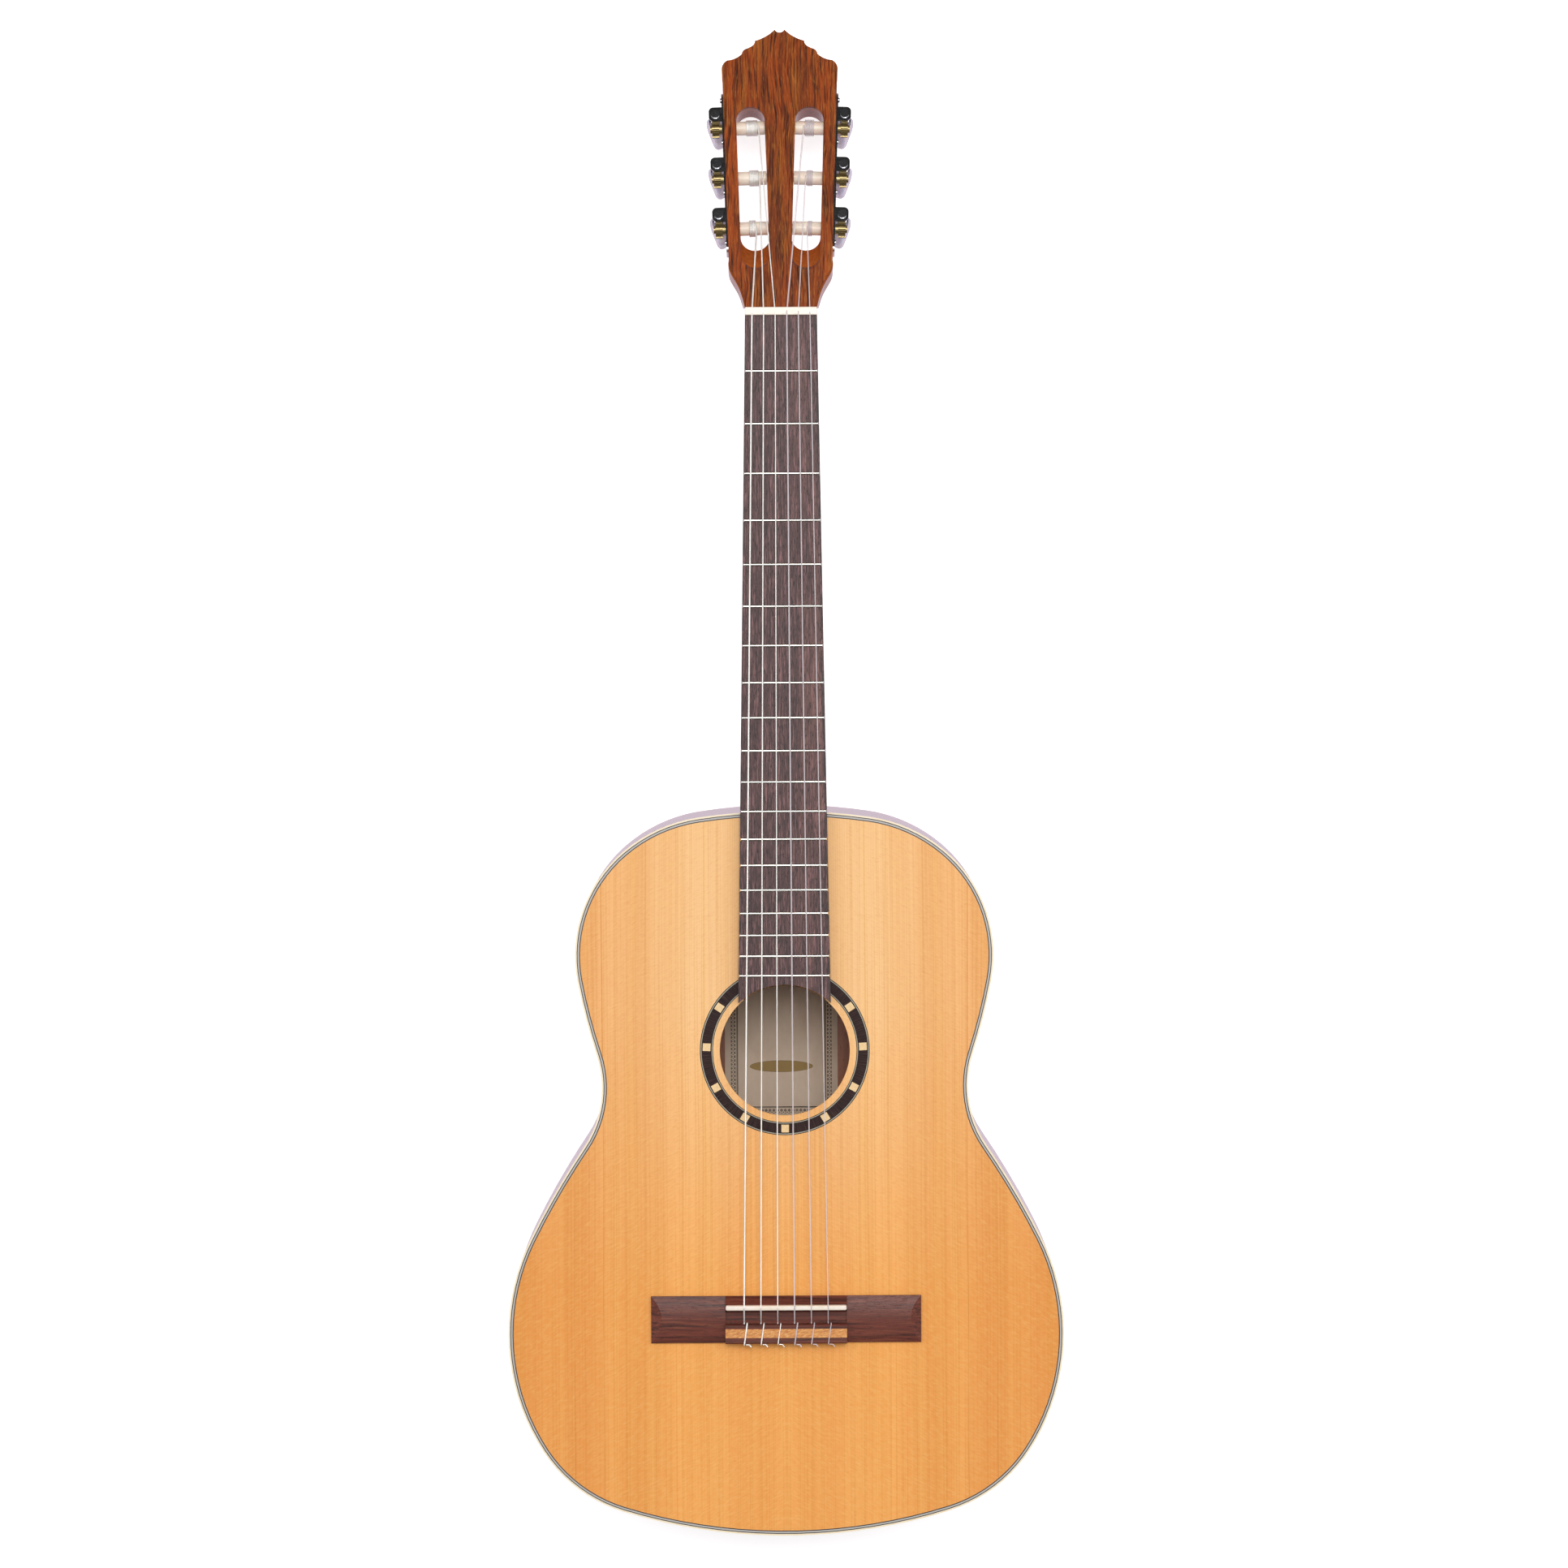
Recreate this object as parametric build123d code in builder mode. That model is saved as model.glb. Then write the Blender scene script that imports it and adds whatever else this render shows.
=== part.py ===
"""A classical guitar lying on its back, in millimetres.

+X is its treble side, +Y its head and +Z the way its soundboard faces. The origin is on the floor under
the middle of the bounding box. The body is a flat soundboard and an arched back on two bent sides, the
neck is one blank with its head, heel and foot, and six worm tuning machines turn the string rollers.
"""

from build123d import *

import os
from math import atan2, cos, degrees, pi, radians, sin, sqrt

# ---------------------------------------------------------------- driving dimensions
scale_length = 650.0  # twice the way from the nut to the twelfth fret, where the body starts
fret_count = 19

# The treble edge of the body from the tail to the neck: radius and turn of each arc, a negative turn
# bending outward. A last arc closes it square to the middle line.
body_arcs = [
    (364.7, 17.2),
    (96.6, 40.0),
    (142.7, 59.3),
    (524.3, 7.7),
    (70.2, -52.2),
    (384.7, 7.4),
    (90.1, 60.5),
    (99.0, 31.8),
]
body_depth = 100.0
back_arch_radius = 4500.0
soundboard_thickness = 2.5
back_thickness = 2.5
side_thickness = 2.2
binding_width = 1.5
binding_height = 6.0
purfling_width = 1.8
purfling_depth = 1.5
lining_width = 5.0
lining_height = 14.0
brace_clearance = 0.5
tail_block_width = 70.0
tail_block_length = 15.0

hole_from_tail = 321.2  # middle of the sound hole
hole_radius = 42.85
rosette_radii = (47.3, 49.0, 54.1, 55.9)  # inner lines, dark ring, outer lines
rosette_depth = 1.2
rosette_inlay_count = 9
rosette_inlay_width = 5.0
rosette_inlay_step = 30.9  # degrees

harmonic_bar_width = 6.0
harmonic_bar_height = 16.0
harmonic_bar_gap = 12.0  # from the rosette to a bar
fan_count = 7
fan_width = 4.5
fan_height = 6.0
fan_step_near = 17.0
fan_step_far = 34.0
fan_tail_gap = 62.0
back_bar_width = 8.0
back_bar_height = 15.0
back_bars_from_tail = (110.0, 235.0, 395.0)
brace_end_height = 2.5

label_width = 76.0
label_length = 106.0
label_thickness = 0.3
label_shift = (-2.4, -1.7)  # from the middle of the sound hole

neck_width_nut = 47.2
neck_width_joint = 57.0
neck_depth_nut = 15.5
neck_depth_heel = 17.5
throat_start = 26.0  # before the nut, where the neck starts to widen into the head
throat_swell = 0.4
heel_start = 72.0  # ahead of the body
heel_reach = 20.0  # at the back
heel_width = 29.0  # at the back
heel_top_width = 55.0
heel_head = 4.0  # below the fingerboard, where the heel has merged into the neck
heel_curve = 4.0
heel_flare = 1.6
heel_slot = 8.0  # half the wood left between the ends of the sides
foot_width = 64.0
foot_length = 34.0
foot_toe_length = 24.0
foot_toe_height = 18.0

fingerboard_thickness = 6.0
fingerboard_hole_margin = 1.05
board_corner = 0.8
fret_width = 2.2
fret_height = 1.0
fret_inset = 0.15
fret_bevel = 0.7  # how far the ends lean in over the fret's height
tang_width = 0.6
tang_depth = 2.0

nut_thickness = 5.3
nut_height = 8.4
nut_inset = 0.2
nut_round = 0.8
nut_spread = 37.9

saddle_spread = 55.3
saddle_set_back = 1.8
saddle_thickness = 3.2
saddle_length = 79.6
saddle_end_round = 1.12
saddle_round = 0.95
saddle_fit = 0.05
saddle_top = 11.5  # above the soundboard
saddle_seat = 3.0
saddle_from_front = 7.0
bridge_length = 178.0
bridge_width = 30.9
bridge_block_length = 80.0
bridge_wing_height = 4.0
bridge_wing_edge = 1.8
bridge_end_slope = 7.0
bridge_ramp_edge = 2.5
bridge_ramp_top = 6.5
bridge_channel_floor = 2.4
bridge_channel_step = 1.0
tie_block_width = 12.9
tie_block_height = 8.5
tie_block_edge = 0.8
tie_hole_height = 5.2
tie_hole_clearance = 0.35
tie_inlay_width = 5.9
tie_inlay_depth = 1.0
tie_inlay_from_front = 3.1
tie_entry = 1.2  # in front of the block, where a string levels out into its hole
loop_shift = 2.0  # across, from a string's hole to its loop over the block
loop_end_drop = 2.6
string_bend_radii = (9.0, 2.0, 2.0, 1.1, 1.1, 1.1)  # from the nut to the loop's end
tail_points = ((0, 0, 0), (2.2, 0, 0), (3.4, -1.6, 0.6))  # a string's tail behind the block
tail_bend_radius = 1.2
tail_drop = 0.8

string_diameters = (0.71, 0.82, 1.02, 0.74, 0.89, 1.09)  # first string to sixth
string_gap = 0.15
glue_line = 0.02  # round a shaft in the piece it is fixed in

head_tilt = 16.0
head_drop = 0.8  # from the neck's top down to the head's wood, under the nut's edge
head_thickness = 19.5
veneer_thickness = 2.2
shoulder_swell = 1.4  # how far the wood swells past the veneer at the shoulders
head_straight = ((34.1, 33.3), (38.1, 163.6))  # half-width and reach at both ends of the straight side
slot_width = 18.8
slot_inset = 17.6  # from the head's side to the slot's middle
slot_ramp_start = 25.8
slot_full_start = 45.7
slot_end = 139.1

roller_reaches = (57.3, 92.3, 127.3)
roller_depth = 10.0
roller_radius = 4.5
roller_clearance = 0.1
spigot_radius = 3.0
spigot_length = 5.0
axle_radius = 2.5
running_clearance = 0.06
end_clearance = 0.1
coil_turns = (4, 5, 6, 10, 7, 4)  # first string to sixth
landing_insets = (17.4, 19.1, 21.2, 22.6, 22.3, 19.3)  # from the head's side to where a string lands

gear_teeth = 14
gear_radius = 5.8
gear_width = 4.7
gear_tooth_height = 1.15
gear_tooth_sink = 0.4  # how far a tooth starts inside its wheel
gear_tip_width = 0.65
gear_root_width = 1.45
gear_middle = 5.6  # outside the head's side
gear_hub_radius = 3.6
gear_screw_radius = 2.6
gear_screw_height = 1.2
gear_screw_shank = 1.2
gear_screw_length = 6.0

centre_distance = 8.0
worm_radius = 2.8
worm_core_radius = 1.75
worm_pitch_radius = 2.5
worm_crest = 0.6
worm_foot = 1.3
worm_gap = 0.4  # from the thread to a lug
journal_radius = 1.5
disc_radius = 2.9
disc_thickness = 0.8
collar_radius = 2.6
collar_length = 1.4
stem_radius = 2.0
stem_seat = 16.0  # how deep the stem sits in the button

plate_thickness = 1.2
plate_start = 39.6
plate_end = 150.3
plate_top = 2.5
plate_bottom = 17.5
lug_thickness = 1.5
lug_width = 9.5
lug_outreach = 9.8
lug_corner = 3.0
screw_from_roller = -9.3
plate_end_screw = 147.3
screw_head_radius = 1.7
screw_head_height = 1.0
screw_head_round = 0.7
screw_shank_radius = 0.9
screw_length = 9.0

button_start = 27.0
button_end = 50.0
button_width = 20.0
button_thickness = 7.0
button_turn = 19.0
button_shares = ((0.62, 0), (1, 0.4), (1, 0.75), (0.7, 1))  # half-width and length at its corners
button_corner = 3.5
button_round = 2.6

# ---------------------------------------------------------------- places worked out from them
soundboard_bottom = body_depth - soundboard_thickness
joint_half_width = neck_width_joint / 2
nut_half_width = neck_width_nut / 2
board_taper = (joint_half_width - nut_half_width) / (scale_length / 2)


def outline_length():
    """How long the arcs of the body's edge make the body."""
    x = y = heading = 0.0
    for radius, turn in body_arcs:
        bend = radius if turn > 0 else -radius
        after = heading + radians(turn)
        x += bend * (sin(after) - sin(heading))
        y += bend * (cos(heading) - cos(after))
        heading = after
    closing = pi - heading
    return y + x / sin(closing) * (1 - cos(closing))


# The head's tip ornament, as half-widths and reaches: shoulder, corners, hollows and centre notch.
head_shoulder = [(24.5, 9.5), (27.2, 16.5), (32.0, 25.3)]
head_tip_arcs = [
    [head_straight[1], (37.9, 168.2), (34.7, 171.8)],
    [(34.7, 171.8), (29.3, 173.2), (25.0, 176.3)],
    [(25.0, 176.3), (24.1, 178.6), (22.4, 179.8)],
    [(22.4, 179.8), (20.3, 180.7), (18.0, 182.0)],
    [(18.0, 182.0), (16.8, 183.5), (16.3, 185.5)],
    [(16.3, 185.5), (10.5, 187.8), (3.1, 193.4)],
    [(3.1, 193.4), (1.9, 191.8), (0, 191.3)],
]
head_reach = 193.4

tilt = radians(head_tilt)
body_length = outline_length()
total_length = body_length + scale_length / 2 + nut_thickness + head_reach * cos(tilt)
tail_y = -total_length / 2
joint_y = tail_y + body_length
nut_y = joint_y + scale_length / 2
head_y = nut_y + nut_thickness
hole_y = tail_y + hole_from_tail
saddle_y = nut_y - scale_length - saddle_set_back
bridge_front_y = saddle_y + saddle_from_front
board_end_radius = hole_radius + fingerboard_hole_margin
fingerboard_top = body_depth + fingerboard_thickness

head_plane = Plane(
    origin=(0, head_y, body_depth - head_drop + veneer_thickness / cos(tilt)),
    x_dir=(1, 0, 0),
    z_dir=(0, sin(tilt), cos(tilt)),
)
side_turn = atan2(
    head_straight[1][0] - head_straight[0][0], head_straight[1][1] - head_straight[0][1]
)
side_start = head_straight[0][0] - head_straight[0][1] * sin(side_turn) / cos(side_turn)

# The frame of the treble tuners: x runs along the head's side, y up out of its face, z outward.
along = head_plane.y_dir * cos(side_turn) + head_plane.x_dir * sin(side_turn)
outward = head_plane.x_dir * cos(side_turn) - head_plane.y_dir * sin(side_turn)
side_plane = Plane(
    origin=head_plane.origin + head_plane.x_dir * side_start, x_dir=along, z_dir=outward
)

screw_reaches = [reach + screw_from_roller for reach in roller_reaches] + [plate_end_screw]
gear_pitch = 2 * pi * (centre_distance - worm_pitch_radius) / gear_teeth
lug_centre = gear_middle - (plate_thickness / 2 + lug_outreach) / 2


def board_half_width(y):
    """Half the width of the fingerboard and the neck's top at this place along it."""
    return nut_half_width + (nut_y - y) * board_taper


def string_x(number, spread):
    """Where a string lies across a row of six, the first on the treble side."""
    return spread / 2 - (number - 1) * spread / 5


def fret_y(number):
    """Place of a fret along the neck."""
    return nut_y - scale_length * (1 - 2 ** (-number / 12))


def head_side(reach, depth, out):
    """A point by the head's treble side: along it, down from its face and outward."""
    return side_plane.from_local_coords(Vector(reach, -depth, out))


def side_level(reach, depth, out):
    """A plane by the head's side, facing outward."""
    return Plane(origin=head_side(reach, depth, out), x_dir=along, z_dir=outward)


def worm_level(reach, depth):
    """A plane across a worm, its x pointing away from the roller and its z up the worm."""
    origin = head_side(reach + centre_distance, depth, gear_middle)
    return Plane(origin=origin, x_dir=along, z_dir=head_plane.z_dir)


# ---------------------------------------------------------------- shapes that several pieces share
def body_face(inset=0.0):
    """The body's outline, or the same outline further in."""
    with BuildSketch() as face:
        with BuildLine():
            point = Vector(0, tail_y + inset)
            heading = Vector(1, 0)
            left = 180.0
            for radius, turn in body_arcs:
                arc = JernArc(point, heading, radius - inset if turn > 0 else radius + inset, turn)
                point = arc @ 1
                heading = arc % 1
                left -= turn
            JernArc(point, heading, point.X / sin(radians(left)), left)
            mirror(about=Plane.YZ)
        make_face()
    return face.sketch


def body_slab(inset, bottom, top):
    """A slab of the body's outline."""
    with BuildPart() as slab:
        with BuildSketch(Plane.XY.offset(bottom)):
            add(body_face(inset))
        extrude(amount=top - bottom)
    return slab.part


def rim(outer, inner, bottom, top):
    """A ring that follows the body's edge between two insets."""
    with BuildPart() as ring:
        with BuildSketch(Plane.XY.offset(bottom)):
            add(body_face(outer))
            add(body_face(inner), mode=Mode.SUBTRACT)
        extrude(amount=top - bottom)
    return ring.part


def arch_core(lift):
    """All that lies above the back's arch when this is lifted so far off its outer face."""
    with BuildPart() as core:
        with BuildSketch(Plane.XZ.offset(-total_length)):
            with Locations((0, back_arch_radius)):
                Circle(back_arch_radius - lift)
        extrude(amount=2 * total_length)
    return core.part


def block(centre, size):
    """A plain block."""
    with BuildPart() as solid:
        with Locations(centre):
            Box(*size)
    return solid.part


def brace(start, end, width, height, end_height, up):
    """A straight bar between two points of one level, tapered at its ends and standing up or down."""
    run = Vector(*end) - Vector(*start)
    profile_plane = Plane(origin=start, x_dir=run, z_dir=run.cross(Vector(0, 0, up)))
    taper = min(run.length / 4, 4 * height)
    with BuildPart() as bar:
        with BuildSketch(profile_plane):
            with BuildLine():
                Polyline(
                    (0, 0),
                    (0, end_height),
                    (taper, height),
                    (run.length - taper, height),
                    (run.length, end_height),
                    (run.length, 0),
                    close=True,
                )
            make_face()
        extrude(amount=width / 2, both=True)
    return bar.part


def save(part, name):
    """Label a finished piece and write it."""
    part.label = name
    export_step(part, f"parts/{name}.step")


os.makedirs("parts", exist_ok=True)

# ---------------------------------------------------------------- body
lining_edge = side_thickness + lining_width
inner_edge = lining_edge + brace_clearance
inner_core = arch_core(back_thickness)

with BuildPart() as bindings:
    add(rim(0, binding_width, body_depth - binding_height, body_depth))
    add(rim(0, binding_width, 0, body_depth / 2))
    lower = block((0, 0, body_depth / 4), (total_length, total_length, body_depth / 2))
    with BuildPart(mode=Mode.PRIVATE) as above_arch:
        add(lower)
        add(arch_core(binding_height), mode=Mode.INTERSECT)
    add(above_arch.part, mode=Mode.SUBTRACT)
    add(arch_core(0), mode=Mode.INTERSECT)
save(bindings.part, "bindings")

with BuildPart() as purfling:
    add(rim(binding_width, binding_width + purfling_width, body_depth - purfling_depth, body_depth))
save(purfling.part, "purfling")

with BuildPart() as back_shell:
    add(body_slab(binding_width, 0, body_depth / 2))
    add(arch_core(0), mode=Mode.INTERSECT)
    add(inner_core, mode=Mode.SUBTRACT)


def side_shell(sign):
    """One bent side, from the tail seam to the slot in the heel."""
    reach = total_length / 2
    with BuildPart() as shell:
        add(rim(0, side_thickness, 0, soundboard_bottom))
        add(inner_core, mode=Mode.INTERSECT)
        add(bindings.part, mode=Mode.SUBTRACT)
        with Locations((-sign * reach, 0, 0)):
            Box(2 * reach, 4 * reach, 4 * body_depth, mode=Mode.SUBTRACT)
        with Locations((0, joint_y, 0)):
            Box(2 * heel_slot, body_length / 2, 4 * body_depth, mode=Mode.SUBTRACT)
    return shell.part


side_treble = side_shell(1)
save(side_treble, "side_treble")
side_bass = side_shell(-1)
save(side_bass, "side_bass")

with BuildPart() as tail_block:
    with BuildSketch():
        add(body_face(side_thickness))
        with Locations((0, tail_y + side_thickness)):
            Rectangle(tail_block_width, 2 * tail_block_length, mode=Mode.INTERSECT)
    extrude(amount=soundboard_bottom)
    add(inner_core, mode=Mode.INTERSECT)
save(tail_block.part, "tail_block")

with BuildPart() as foot:
    with BuildSketch():
        add(body_face(side_thickness))
        with Locations((0, joint_y - side_thickness)):
            Rectangle(foot_width, 2 * foot_length, mode=Mode.INTERSECT)
    extrude(amount=soundboard_bottom)
    toe_y = joint_y - side_thickness - foot_length - foot_toe_length / 2
    with Locations((0, toe_y, foot_toe_height / 2)):
        Box(foot_width, foot_toe_length, foot_toe_height)
    add(inner_core, mode=Mode.INTERSECT)

open_height = soundboard_bottom - lining_height
with BuildPart() as lining_core:
    add(block((0, 0, open_height / 2), (total_length, total_length, open_height)))
    add(arch_core(back_thickness + lining_height), mode=Mode.INTERSECT)

with BuildPart() as linings:
    add(rim(side_thickness, lining_edge, 0, soundboard_bottom))
    add(inner_core, mode=Mode.INTERSECT)
    add(lining_core.part, mode=Mode.SUBTRACT)
    add(tail_block.part, mode=Mode.SUBTRACT)
    add(foot.part, mode=Mode.SUBTRACT)
save(linings.part, "linings")

rosette_bottom = body_depth - rosette_depth
with BuildPart() as soundboard:
    with BuildSketch(Plane.XY.offset(soundboard_bottom)):
        add(body_face(binding_width))
        with Locations((0, hole_y)):
            Circle(hole_radius, mode=Mode.SUBTRACT)
    extrude(amount=soundboard_thickness)
    with BuildSketch(Plane.XY.offset(rosette_bottom)):
        with Locations((0, hole_y)):
            Circle(rosette_radii[3])
            Circle(rosette_radii[0], mode=Mode.SUBTRACT)
    extrude(amount=rosette_depth, mode=Mode.SUBTRACT)
    add(purfling.part, mode=Mode.SUBTRACT)
save(soundboard.part, "soundboard")

first_inlay = -90 - rosette_inlay_step * (rosette_inlay_count - 1) / 2
inlay_angles = [first_inlay + rosette_inlay_step * i for i in range(rosette_inlay_count)]
inlay_middle = (rosette_radii[1] + rosette_radii[2]) / 2
inlay_length = 2 * (rosette_radii[2] - rosette_radii[1])
with BuildPart() as rosette_inlays:
    with BuildSketch(Plane.XY.offset(rosette_bottom)):
        for angle in inlay_angles:
            turned = radians(angle)
            place = (inlay_middle * cos(turned), hole_y + inlay_middle * sin(turned))
            with Locations(Location((*place, 0), (0, 0, angle))):
                Rectangle(inlay_length, rosette_inlay_width)
        with Locations((0, hole_y)):
            Circle(rosette_radii[2], mode=Mode.INTERSECT)
            Circle(rosette_radii[1], mode=Mode.SUBTRACT)
    extrude(amount=rosette_depth)
save(rosette_inlays.part, "rosette_inlays")

rosette_rings = []
for inner, outer in zip(rosette_radii, rosette_radii[1:]):
    with BuildPart() as ring:
        with BuildSketch(Plane.XY.offset(rosette_bottom)):
            with Locations((0, hole_y)):
                Circle(outer)
                Circle(inner, mode=Mode.SUBTRACT)
        extrude(amount=rosette_depth)
        add(rosette_inlays.part, mode=Mode.SUBTRACT)
    rosette_rings.extend(ring.part.solids())
save(Compound(children=rosette_rings), "rosette")

bar_y = rosette_radii[3] + harmonic_bar_gap
brace_room = body_slab(inner_edge, 0, body_depth)


def cross_bar(y, level, width, height, up):
    """A bar right across the inside of the body, which its ends just miss."""
    start = (-body_length, y, level)
    end = (body_length, y, level)
    with BuildPart() as bar:
        add(brace(start, end, width, height, height, up))
        add(brace_room, mode=Mode.INTERSECT)
    return bar.part


with BuildPart() as soundboard_braces:
    for y in (hole_y + bar_y, hole_y - bar_y):
        add(cross_bar(y, soundboard_bottom, harmonic_bar_width, harmonic_bar_height, -1))
    fan_top_y = hole_y - bar_y - harmonic_bar_width
    for i in range(fan_count):
        step = i - (fan_count - 1) / 2
        shorter = fan_step_near * abs(step) / 3
        start = (fan_step_near * step, fan_top_y, soundboard_bottom)
        end = (fan_step_far * step, tail_y + fan_tail_gap + shorter, soundboard_bottom)
        add(brace(start, end, fan_width, fan_height, brace_end_height, -1))
save(soundboard_braces.part, "soundboard_braces")

back_bars = []
for reach in back_bars_from_tail:
    with BuildPart() as back_bar:
        add(cross_bar(tail_y + reach, 0, back_bar_width, back_bar_height + back_thickness, 1))
        add(inner_core, mode=Mode.INTERSECT)
    back_bars.extend(back_bar.part.solids())
save(Compound(children=back_bars), "back_braces")

with BuildPart() as label:
    label_box = (label_width, label_length, body_depth)
    add(block((label_shift[0], hole_y + label_shift[1], body_depth / 2), label_box))
    add(inner_core, mode=Mode.INTERSECT)
    add(arch_core(back_thickness + label_thickness), mode=Mode.SUBTRACT)
save(label.part, "label")


# ---------------------------------------------------------------- neck
def head_face(swell=0.0):
    """The head's crown-shaped outline in the plane of its face, with its shoulders swollen."""
    shoulder = [(x + swell, y) for x, y in head_shoulder]
    with BuildSketch() as face:
        with BuildLine():
            Line((0, 0), (nut_half_width, 0))
            Spline((nut_half_width, 0), *shoulder, head_straight[0])
            Line(*head_straight)
            for points in head_tip_arcs:
                ThreePointArc(*points)
            mirror(about=Plane.YZ)
        make_face()
    return face.sketch


def slot_centre(reach):
    """A point on the middle line of the treble slot, in the plane of the head's face."""
    return (side_start + reach * sin(side_turn) / cos(side_turn) - slot_inset, reach)


def slot_outline(first, last):
    """The treble slot's outline between the centres of its two round ends."""
    x_1, y_1 = slot_centre(first)
    x_2, y_2 = slot_centre(last)
    middle = Location(((x_1 + x_2) / 2, (y_1 + y_2) / 2, 0), (0, 0, 90 - degrees(side_turn)))
    with BuildSketch() as outline:
        with Locations(middle):
            SlotCenterToCenter(sqrt((x_2 - x_1) ** 2 + (y_2 - y_1) ** 2), slot_width)
    return outline.sketch


slot_end_radius = slot_width / 2
ramp_lean = head_plane.y_dir * (slot_full_start - slot_ramp_start) - head_plane.z_dir * head_thickness
slot_middle = (slot_full_start + slot_end) / 2
with BuildPart() as slots:
    with BuildSketch(head_plane):
        add(slot_outline(slot_full_start + slot_end_radius, slot_end - slot_end_radius))
    extrude(amount=head_thickness * 1.5, both=True)
    with BuildSketch(head_plane):
        add(slot_outline(slot_ramp_start + slot_end_radius, slot_middle))
    extrude(amount=ramp_lean.length * 1.1, dir=ramp_lean.normalized())
    mirror(about=Plane.YZ)

with BuildPart() as head_cut:
    with Locations((0, head_y - total_length, body_depth)):
        Box(total_length, 2 * total_length, 2 * total_length)

with BuildPart() as head_veneer:
    with BuildSketch(head_plane.offset(-veneer_thickness)):
        add(head_face())
    extrude(amount=veneer_thickness)
    add(head_cut.part, mode=Mode.SUBTRACT)
    add(slots.part, mode=Mode.SUBTRACT)
save(head_veneer.part, "head_veneer")


# Poles of the neck's rounded underside: how deep the side pole is, then how far out and how deep the
# lower one is, as shares of the half-width and the depth.
shaft_poles = (0.6, 0.6, 1.0)
head_poles = (0.95, 0.95, 1.0)
neck_spare = 3.0  # how far the blank stands over its top before that is planed flat


def neck_section(y, depth, poles, half=None):
    """The neck's blank across, rounded below."""
    half = half or board_half_width(y)
    side_depth, low_out, low_depth = poles
    top = body_depth + neck_spare
    side_z = body_depth - depth * side_depth
    low_z = body_depth - depth * low_depth
    bottom = (0, body_depth - depth)
    with BuildSketch(Plane.XZ.offset(-y)) as across:
        with BuildLine():
            Line((-half, top), (half, top))
            Line((half, top), (half, body_depth))
            Bezier((half, body_depth), (half, side_z), (half * low_out, low_z), bottom)
            Bezier(bottom, (-half * low_out, low_z), (-half, side_z), (-half, body_depth))
            Line((-half, body_depth), (-half, top))
        make_face()
    return across.sketch


heel_poles = (0.55, 0.45)
heel_levels = (0, 0.3, 0.55, 0.75, 0.9, 1)  # shares of its height, where its outline is drawn


def heel_level(height):
    """The heel's tongue seen from above, at this height over the back."""
    side_pole, tip_pole = heel_poles
    rise = (height / (body_depth - neck_depth_heel)) ** heel_curve
    reach = heel_reach + (heel_start - heel_reach) * rise
    flare = (height / (body_depth - heel_head)) ** heel_flare
    half = (heel_width + (heel_top_width - heel_width) * flare) / 2
    root = joint_y - heel_slot
    tip = (0, joint_y + reach)
    with BuildSketch(Plane.XY.offset(height)) as level:
        with BuildLine():
            Polyline((half, joint_y), (half, root), (-half, root), (-half, joint_y))
            bow = joint_y + reach * side_pole
            Bezier((-half, joint_y), (-half, bow), (-half * tip_pole, tip[1]), tip)
            Bezier(tip, (half * tip_pole, tip[1]), (half, bow), (half, joint_y))
        make_face()
    return level.sketch


shaft_end_y = nut_y - throat_start
head_depth = head_drop + (head_thickness - veneer_thickness) / cos(tilt)
with BuildPart() as heel:
    loft([heel_level(share * (body_depth - heel_head)) for share in heel_levels])

with BuildPart() as heel_cap:
    add(heel.part)
    add(body_slab(0, -body_length, 2 * body_depth), mode=Mode.SUBTRACT)
    cap_box = (2 * foot_width, 2 * heel_start, back_thickness)
    add(block((0, joint_y, back_thickness / 2), cap_box), mode=Mode.INTERSECT)
save(Compound(children=[back_shell.part.solid(), heel_cap.part.solid()]), "back_plate")

with BuildPart() as machine_holes:
    for reach in roller_reaches:
        with BuildSketch(side_level(reach, roller_depth, -slot_inset - slot_end_radius)):
            Circle(roller_radius + roller_clearance)
        extrude(amount=2 * slot_inset)
        with BuildSketch(side_level(reach, roller_depth, -slot_inset)):
            Circle(spigot_radius + running_clearance)
        extrude(amount=-slot_end_radius - spigot_length - end_clearance)
    for reach in screw_reaches:
        with BuildSketch(side_level(reach, roller_depth, 0)):
            Circle(screw_shank_radius)
        extrude(amount=plate_thickness - screw_length)
    mirror(about=Plane.YZ)

with BuildPart() as neck:
    with BuildSketch(head_plane.offset(-head_thickness)):
        add(head_face(shoulder_swell))
    extrude(amount=head_thickness - veneer_thickness)
    add(head_cut.part, mode=Mode.SUBTRACT)
    throat = [
        neck_section(shaft_end_y, neck_depth_nut, shaft_poles),
        neck_section(nut_y - throat_start / 2, neck_depth_nut + throat_swell, shaft_poles),
        neck_section(head_y, head_depth, head_poles, nut_half_width),
    ]
    loft(throat)
    shaft = [
        neck_section(joint_y - heel_slot, neck_depth_heel, shaft_poles),
        neck_section(shaft_end_y, neck_depth_nut, shaft_poles),
    ]
    loft(shaft, ruled=True)
    add(heel.part)
    add(body_slab(0, -body_length, 2 * body_depth), mode=Mode.SUBTRACT)
    add(foot.part)
    with BuildSketch(Plane.XY.offset(binding_height + back_thickness)):
        with Locations((0, joint_y)):
            Rectangle(2 * heel_slot, 2 * heel_slot)
    extrude(amount=body_depth - 2 * binding_height - back_thickness)
    with Locations((0, 0, back_thickness - total_length), (0, 0, body_depth + total_length)):
        Box(total_length, 2 * total_length, 2 * total_length, mode=Mode.SUBTRACT)
    add(slots.part, mode=Mode.SUBTRACT)
    add(machine_holes.part, mode=Mode.SUBTRACT)
save(neck.part, "neck")


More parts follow.
